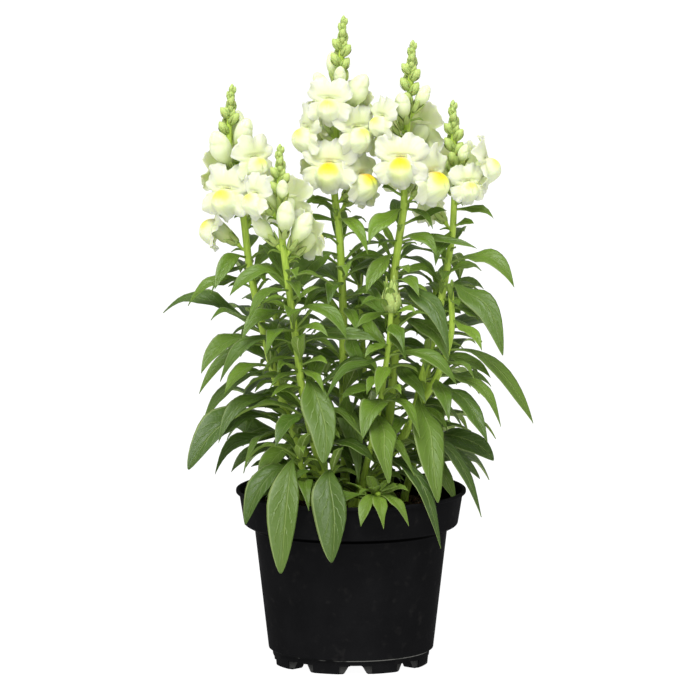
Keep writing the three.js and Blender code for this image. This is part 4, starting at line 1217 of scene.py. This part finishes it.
def make_soil(material, draws):
    """The bed of soil with a hole for each stem, and the crumbs that lie on it."""
    phases = [2 * np.pi * draws() for _ in range(12)]
    collar = COLLAR_RADIUS - WALL - SEAT_GAP - 0.3

    def wall_radius(height):
        share = (height - SHOULDER_HEIGHT) / (BODY_TOP - SHOULDER_HEIGHT)
        return lerp(SHOULDER_RADIUS, BODY_RADIUS, share) - WALL - SEAT_GAP - 0.2

    side = [
        (AXIS_RADIUS, FLOOR_TOP + SEAT_GAP),
        (FLOOR_RADIUS - SEAT_GAP - 1, FLOOR_TOP + SEAT_GAP),
        (wall_radius(10) - 0.4, 10),
        (wall_radius(BODY_TOP) - 0.6, BODY_TOP + 0.6),
        (collar - 0.6, COLLAR_FOOT + 2.4),
        (collar, SOIL_HEIGHT - 2),
    ]
    top = [(radius, SOIL_HEIGHT) for radius in np.linspace(collar - 0.8, AXIS_RADIUS, SOIL_RINGS)]
    rings = lathed(side + top, SOIL_SEGMENTS)
    for point in rings[len(side):].reshape(-1, 3):
        point[2] = soil_height(point[0], point[1], phases) + 0.7 * draws() - 0.35
    bed, holes, crumbs = Skin(), Skin(), Skin()
    bed.loft(rings)
    feet = [vector(*stem["routes"][0][0]) for stem in STEMS]
    for stem, (x, y, _) in zip(STEMS, feet):
        ends = np.array([(x, y, STEM_FOOT - SEAT_GAP), (x, y, SOIL_HEIGHT + 6)])
        holes.tube(ends, stem["radius"][0] + HOLE_PLAY, 16)
    for _ in range(GRANULE_COUNT):
        out, turn = (collar - 3) * math.sqrt(draws()), 360 * draws()
        spot = direction(turn, 0) * out
        size = lerp(0.7, 2.3, draws() ** 2)
        if min(math.dist(spot[:2], foot[:2]) for foot in feet) < size + 3.6:
            continue
        spot[2] = soil_height(spot[0], spot[1], phases) + 0.2 * size
        add_crumb(crumbs, spot, size, draws)
    bed = cut(bed.mesh("soil_bed", [material]), holes, "soil_bed_holed")
    return bed, crumbs.mesh("soil_crumbs", [material])


def add_crumb(skin, centre, size, draws):
    rows, columns = 6, 8
    polar, turn = np.pi * np.linspace(0.04, 0.96, rows)[:, None], full_turn(columns)
    lean = direction(360 * draws(), 60 * draws())
    stretch = lerp(0.7, 1.5, draws())
    radius = size * lerp(0.72, 1.12, np.array([[draws() for _ in turn] for _ in polar]))
    rounding = (np.sin(polar) * np.cos(turn), np.sin(polar) * np.sin(turn), -np.cos(polar))
    rings = np.stack([radius * share for share in rounding], -1)
    rings = rings + (rings @ lean)[..., None] * lean * (stretch - 1)
    rings[..., 2] *= 0.75
    skin.loft(centre + rings, (1, draws(), draws(), 1))


# ---- Materials ----
class Shader:
    """A procedural material, with short calls for the nodes it is made of. Its colour is built up
    from a base and tints laid over it."""

    def __init__(self, name, **fixed):
        self.material = bpy.data.materials.new(name)
        self.material.use_nodes = True
        self.tree = self.material.node_tree
        self.surface = self.tree.nodes["Principled BSDF"]
        coordinates = self.make("TexCoord").outputs
        self.place, self.uv = coordinates["Object"], coordinates["UV"]
        for socket, value in fixed.items():
            self.surface.inputs[socket.replace("_", " ")].default_value = value

    def make(self, kind, inputs=(), **settings):
        node = self.tree.nodes.new("ShaderNode" + kind)
        for key, value in settings.items():
            setattr(node, key, value)
        for socket, value in dict(inputs).items():
            self.put(node.inputs[socket], value)
        return node

    def put(self, socket, value):
        if isinstance(value, bpy.types.NodeSocket):
            self.tree.links.new(value, socket)
        else:
            socket.default_value = value

    def math(self, operation, a, b=0.0, c=0.0, clamp=False):
        node = self.make("Math", {0: a, 1: b, 2: c}, operation=operation, use_clamp=clamp)
        return node.outputs[0]

    def times(self, a, b, clamp=False):
        return self.math("MULTIPLY", a, b, clamp=clamp)

    def plus(self, a, b):
        return self.math("ADD", a, b)

    def times_plus(self, a, b, c):
        return self.math("MULTIPLY_ADD", a, b, c)

    def remap(self, value, low, high, to_low=0.0, to_high=1.0):
        values = {0: value, 1: low, 2: high, 3: to_low, 4: to_high}
        return self.make("MapRange", values, interpolation_type="SMOOTHSTEP").outputs[0]

    def fade(self, value, low, high):
        return self.remap(value, low, high, 1.0, 0.0)

    def near(self, value, middle, low, high):
        """1 where a value is within one distance of a middle one, 0 beyond another."""
        return self.fade(self.math("ABSOLUTE", self.math("SUBTRACT", value, middle)), low, high)

    def tone(self):
        return self.parts(self.make("Attribute", attribute_name="tone").outputs["Color"])

    def parts(self, colour):
        return self.make("SeparateColor", {0: colour}).outputs

    def xyz(self, place):
        return self.make("SeparateXYZ", {0: place}).outputs

    def stretched(self, place, shares):
        return self.make("VectorMath", {0: place, 1: shares}, operation="MULTIPLY").outputs[0]

    def noise(self, size_mm, detail, place=None):
        values = {"Vector": place or self.place, "Scale": 1 / (size_mm * MM), "Detail": detail}
        return self.make("TexNoise", values).outputs["Fac"]

    def cells(self, size_mm):
        values = {"Vector": self.place, "Scale": 1 / (size_mm * MM)}
        return self.make("TexVoronoi", values).outputs

    def mix(self, share, a, b):
        node = self.make("Mix", data_type="RGBA")
        for socket, value in ((0, share), (6, a), (7, b)):
            self.put(node.inputs[socket], value)
        return node.outputs[2]

    def base(self, share, one, other):
        self.colour = self.mix(share, srgb(*one), srgb(*other))

    def tint(self, colour, share, amount=1.0, low=None, high=None):
        """Lays a colour over the others by a share, which may be spread between two limits."""
        if low is not None:
            share = self.remap(share, low, high, 0.0, amount)
        elif amount != 1.0:
            share = self.times(share, amount)
        self.colour = self.mix(share, self.colour, srgb(*colour))

    def finish(self, roughness, height, depth_mm, strength=1.0):
        relief = {"Height": height, "Distance": depth_mm * MM, "Strength": strength}
        self.put(self.surface.inputs["Base Color"], self.colour)
        self.put(self.surface.inputs["Roughness"], roughness)
        self.put(self.surface.inputs["Normal"], self.make("Bump", relief).outputs[0])
        return self.material

    def finish_grainy(self, grain, low, high, height, depth_mm, strength=1.0):
        """The same, with a roughness that a fine noise spreads between two limits."""
        return self.finish(self.remap(grain, 0.3, 0.7, low, high), height, depth_mm, strength)


def srgb(red, green, blue):
    """A colour as it is seen, from 0 to 255, as the shader needs it."""
    shares = [value / 255 for value in (red, green, blue)]
    return tuple(v / 12.92 if v <= 0.04045 else ((v + 0.055) / 1.055) ** 2.4 for v in shares) + (1,)


def pot_plastic():
    """Black plastic, smeared and dusty, paler on the inset faces of the foot, with a painted highlight
    along the ledge over the foot and a painted shadow line under the collar."""
    shader = Shader("pot_plastic_black", IOR=1.03)
    smear, grain = shader.noise(14, 4), shader.noise(0.5, 2)
    shader.base(smear, (15, 15, 16), (26, 26, 27))
    shader.tint((42, 41, 40), shader.remap(shader.noise(5, 5), 0.55, 0.8), 0.4)
    x, y, z = shader.xyz(shader.place)
    out = shader.math("SQRT", shader.plus(shader.times(x, x), shader.times(y, y)))
    # A paler grey on the foot's inset faces, just inside its outer radius and above its underside.
    skirt = FOOT_RADIUS * MM
    band = shader.times(
        shader.fade(out, skirt - 0.0006, skirt - 0.0003),
        shader.remap(out, skirt - 0.0022, skirt - 0.0019),
    )
    shader.tint((58, 58, 57), shader.times(band, shader.remap(z, 0.0004, 0.0009)))
    # A painted highlight: a broken pale line along the ledge, where light catches its edge.
    ledge = shader.near(z, LEDGE_HEIGHT * MM, 0.0001, 0.0004)
    shader.tint((118, 118, 114), shader.times(ledge, shader.remap(smear, 0.46, 0.56)))
    # A painted shadow: a near-black line just under the collar, where its overhang casts shade.
    shader.tint((2, 2, 2), shader.near(z, COLLAR_FOOT * MM - 0.0016, 0.0006, 0.0016))
    height = shader.plus(grain, shader.times(smear, 2.0))
    return shader.finish_grainy(smear, 0.5, 0.66, height, 0.05, 0.5)


def potting_soil():
    """Dark peat with reddish specks; a crumb is paler than the bed, each by its own share."""
    shader = Shader("potting_soil_dark", Specular_IOR_Level=0.15)
    own = shader.tone()[1]
    fibres, cells = shader.noise(1.6, 6), shader.cells(1.1)
    shader.base(shader.remap(fibres, 0.35, 0.7), (26, 19, 14), (72, 50, 36))
    speck = shader.remap(shader.parts(cells["Color"])[0], 0.86, 0.96)
    shader.tint((122, 74, 48), speck, 0.7)
    shader.tint((92, 66, 48), own, 0.45)
    roughness = shader.remap(fibres, 0.2, 0.8, 0.8, 1.0)
    return shader.finish(roughness, shader.plus(fibres, cells["Distance"]), 0.7)


def stem_green():
    """Pale green, streaked along the stem and finely hairy, lighter higher up."""
    shader = Shader("stem_green", Specular_IOR_Level=0.35)
    streak = shader.noise(0.9, 3, shader.stretched(shader.place, (1, 1, 0.12)))
    shader.base(shader.tone()[0], (168, 200, 66), (194, 220, 92))
    shader.tint((126, 162, 46), streak, 0.5, 0.3, 0.75)
    shader.tint((204, 224, 104), shader.noise(16, 3), 0.5, 0.5, 0.8)
    hairs = shader.noise(0.35, 2)
    height = shader.plus(streak, shader.times(hairs, 0.5))
    return shader.finish_grainy(hairs, 0.42, 0.62, height, 0.18)


def leaf_veins(shader):
    """Shares of the midrib and side veins at each place of a blade, and how far out it is."""
    across, along, _ = shader.xyz(shader.uv)
    out = shader.math("ABSOLUTE", shader.times_plus(across, 2.0, -1.0))
    phase = shader.times_plus(along, 9.0, shader.times(out, -2.2))
    turn = shader.math("FRACT", shader.plus(phase, shader.times(shader.noise(3, 2), 0.5)))
    vein = shader.times(shader.near(turn, 0.5, 0.0, 0.13), shader.fade(out, 0.55, 0.98))
    return shader.fade(out, 0.015, 0.06), vein, out


def leaf_top():
    """Mid green, darker on large leaves and low in the plant, yellower on young ones."""
    shader = Shader("leaf_upper_side", Specular_IOR_Level=0.36, **LEAF_GLOW)
    young, own, size = shader.tone()
    midrib, vein, out = leaf_veins(shader)
    mottle, patch = shader.noise(2.2, 4), shader.noise(11, 3)
    shader.base(own, (62, 94, 14), (104, 136, 36))
    shader.tint((106, 130, 54), mottle, 0.4, 0.35, 0.7)
    shader.tint((84, 112, 30), patch, 0.5, 0.52, 0.78)
    shader.tint((61, 86, 34), size, 0.75, 0.45, 0.9)
    shader.tint((46, 66, 25), shader.remap(shader.xyz(shader.place)[2], 0.085, 0.16, 0.5, 0.0))
    shader.tint((140, 172, 62), young, 0.85)
    shader.tint((146, 168, 90), vein, 0.16)
    shader.tint((146, 166, 94), midrib, 0.36)
    shader.tint((140, 158, 92), out, 0.3, 0.96, 1.0)
    grain = shader.noise(0.4, 2)
    dents = shader.times_plus(vein, -0.7, shader.times(midrib, -1.2))
    height = shader.plus(shader.times_plus(grain, 0.35, mottle), dents)
    return shader.finish_grainy(grain, 0.32, 0.47, height, 0.32, 0.8)


def leaf_back():
    """Paler and duller than the upper side, with raised veins and a darker margin."""
    shader = Shader("leaf_underside", Specular_IOR_Level=0.25, **LEAF_GLOW)
    young, own, _ = shader.tone()
    midrib, vein, out = leaf_veins(shader)
    mottle = shader.noise(1.8, 4)
    shader.base(own, (104, 130, 52), (134, 160, 72))
    shader.tint((138, 166, 70), mottle, 0.4, 0.35, 0.7)
    shader.tint((162, 194, 80), young, 0.7)
    shader.tint((196, 214, 146), vein, 0.3)
    shader.tint((204, 220, 150), midrib, 0.75)
    shader.tint((116, 130, 86), out, 0.85, 0.84, 0.95)
    grain = shader.noise(0.4, 2)
    height = shader.plus(shader.times_plus(grain, 0.35, mottle), shader.times_plus(vein, 0.8, midrib))
    return shader.finish_grainy(grain, 0.5, 0.66, height, 0.25, 0.7)


def sepal_green():
    """Pale, finely hairy green, lighter towards the tip of each sepal."""
    shader = Shader("sepal_green", Specular_IOR_Level=0.35, Subsurface_Weight=0.08, Subsurface_Scale=0.001)
    young, own, along = shader.tone()
    mottle, hairs = shader.noise(1.1, 4), shader.noise(0.3, 2)
    shader.base(young, (140, 162, 74), (188, 204, 120))
    shader.tint((140, 164, 76), own, 0.4)
    shader.tint((192, 212, 132), mottle, 0.5, 0.4, 0.7)
    shader.tint((190, 212, 118), along, 0.45, 0.6, 1.0)
    height = shader.plus(mottle, shader.times(hairs, 0.6))
    return shader.finish_grainy(hairs, 0.45, 0.65, height, 0.2)


def petal_white():
    """Creamy white with faint veins, green towards the calyx and yellow on the palate; round the throat and
    at the base of the petals' backs the green is partly their own and partly painted shade.
    """
    shader = Shader(
        "petal_white", Specular_IOR_Level=0.2, Sheen_Weight=0.08, Subsurface_Weight=0.6,
        Subsurface_Radius=(0.85, 1, 0.4), Subsurface_Scale=0.0015,
    )
    yellow, orange, green = shader.tone()
    cloud, velvet = shader.noise(4, 4), shader.noise(0.32, 3)
    veins = shader.noise(1 / MM, 3, shader.stretched(shader.uv, (60, 5, 0)))
    shader.base(cloud, (223, 231, 188), (232, 238, 212))
    shader.tint((216, 225, 172), veins, 0.35, 0.52, 0.7)
    # The green tone: the tube's own green towards the calyx, and round the throat and at the base of the
    # backs partly own green, partly painted shade.
    shader.tint((198, 214, 104), green)
    shader.tint((232, 242, 118), yellow, 1.0, 0.0, 0.5)
    shader.tint((242, 234, 46), yellow, 1.0, 0.35, 0.95)
    shader.tint((250, 196, 6), shader.times(orange, shader.remap(velvet, 0.3, 0.6, 0.55, 1.0)))
    height = shader.plus(shader.times_plus(veins, 1.2, velvet), cloud)
    return shader.finish_grainy(velvet, 0.55, 0.72, height, 0.16, 0.9)


def bud_white():
    """Creamy white, green towards the calyx, with painted greenish shade in the creases."""
    shader = Shader(
        "bud_petal_white", Specular_IOR_Level=0.25, Sheen_Weight=0.1, Subsurface_Weight=0.5,
        Subsurface_Radius=(1, 1, 0.5), Subsurface_Scale=0.0025,
    )
    cloud, velvet = shader.noise(3, 4), shader.noise(0.32, 3)
    shader.base(cloud, (222, 231, 182), (236, 241, 212))
    paler = shader.remap(cloud, 0.25, 0.7, 1.0, 0.75)
    shader.tint((192, 214, 100), shader.times(shader.tone()[2], paler, clamp=True))
    return shader.finish_grainy(velvet, 0.5, 0.68, shader.plus(velvet, cloud), 0.12, 0.8)


# ---- The pieces ----
def add_stem_piece(stem, materials, draws):
    skin = Skin()
    foot_radius, top_radius = stem.radius
    for branch, route in enumerate(stem.routes):
        add_stem(skin, route, (top_radius + 0.5 if branch else foot_radius, top_radius), branch == 0)
    for leaf in stem.leaves:
        add_leaf(skin, leaf, 0.35 * draws() ** 2, draws)
    for leaf in stem.crest:
        add_leaf(skin, leaf, 0.3, draws)
    for leaf in stem.tufts:
        add_leaf(skin, leaf, 0.6 if leaf.length < YOUNG_LEAF else 0.1, draws)
    for bloom in stem.flowers + stem.buds:
        add_calyx(skin, bloom, draws)
    for index, (root, axis, length) in enumerate(stem.green_buds):
        length *= lerp(0.74, 0.95, min(1, index / TIP_BUD_COUNT))
        add_green_bud(skin, root, axis, length, draws)
    if stem.blooms:
        add_ear(skin, stem, draws)
    if stem.name == BUDDED_SHOOT:
        add_crown_bud(skin, vector(*stem.route[-1]) - vector(0, 0, 6), draws)
    name = stem.name + "_green"
    add_piece(name, skin.mesh(name, materials), stem.name)


def add_corolla_pieces(prefix, blooms, add_shape, material, draws):
    for number, bloom in enumerate(blooms, 1):
        skin = Skin()
        add_shape(skin, bloom, draws)
        node = f"{prefix}_{number:02d}"
        add_piece(node + "_corolla", skin.mesh(node + "_corolla", [material]), node)


draws = Draws(RANDOM_SEED + 1)
plant = Plant()
plant.dress(draws)
flowers = [flower for stem in plant.stems for flower in stem.flowers]
buds = [bud for stem in plant.stems for bud in stem.buds]
for number, flower in enumerate(flowers, 1):
    flower.maturity = MATURITY.get(number, PALE_MATURITY)

green_materials = [stem_green(), leaf_top(), leaf_back(), sepal_green()]
for stem in plant.stems:
    add_stem_piece(stem, green_materials, draws)
add_corolla_pieces("flower", flowers, add_corolla, petal_white(), draws)
add_corolla_pieces("white_bud", buds, add_closed_corolla, bud_white(), draws)
add_piece("nursery_pot", make_pot(pot_plastic()), "pot")
soil_bed, soil_crumbs = make_soil(potting_soil(), draws)
add_piece("soil_bed", soil_bed, "soil")
add_piece("soil_crumbs", soil_crumbs, "soil")


# ---- Studio and camera ----
def add_light(name, turn, rise, strength, spread):
    light = bpy.data.lights.new(name, "SUN")
    light.energy = strength
    light.angle = math.radians(spread)
    lamp = bpy.data.objects.new(name, light)
    lamp.rotation_euler = Vector(direction(turn, rise)).to_track_quat("Z", "Y").to_euler()
    bpy.context.scene.collection.objects.link(lamp)


floor_mesh = bpy.data.meshes.new("studio_floor")
corner_signs = ((-1, -1), (1, -1), (1, 1), (-1, 1))
floor_mesh.from_pydata([(FLOOR_HALF * x, FLOOR_HALF * y, 0) for x, y in corner_signs], [], [(0, 1, 2, 3)])
floor = bpy.data.objects.new("studio_floor", floor_mesh)
bpy.context.scene.collection.objects.link(floor)
paper = Shader("studio_paper", Specular_IOR_Level=0.0, Emission_Strength=FLOOR_GLOW, Emission_Color=WHITE)
paper_grain = paper.noise(3, 3)
paper.colour = paper.mix(paper_grain, (0.08, 0.08, 0.08, 1), (0.1, 0.1, 0.1, 1))
floor_mesh.materials.append(paper.finish(0.9, paper_grain, 0.02, 0.1))

world = bpy.data.worlds.new("studio")
world.use_nodes = True
world.node_tree.nodes["Background"].inputs["Color"].default_value = WHITE
world.node_tree.nodes["Background"].inputs["Strength"].default_value = WORLD_STRENGTH
bpy.context.scene.world = world
for light in LIGHTS:
    add_light(*light)

camera_data = bpy.data.cameras.new("camera")
camera_data.sensor_width = SENSOR
camera_data.lens = SENSOR * CAMERA_DISTANCE / (VIEW_WIDTH * MM)
camera_data.clip_end = 200
camera = bpy.data.objects.new("camera", camera_data)
camera.location = VIEW_CENTRE * MM + direction(-90, CAMERA_RISE) * CAMERA_DISTANCE
camera.rotation_euler = (math.radians(90 - CAMERA_RISE), 0, 0)
bpy.context.scene.collection.objects.link(camera)
bpy.context.scene.camera = camera
bpy.context.scene.view_settings.view_transform = "Standard"
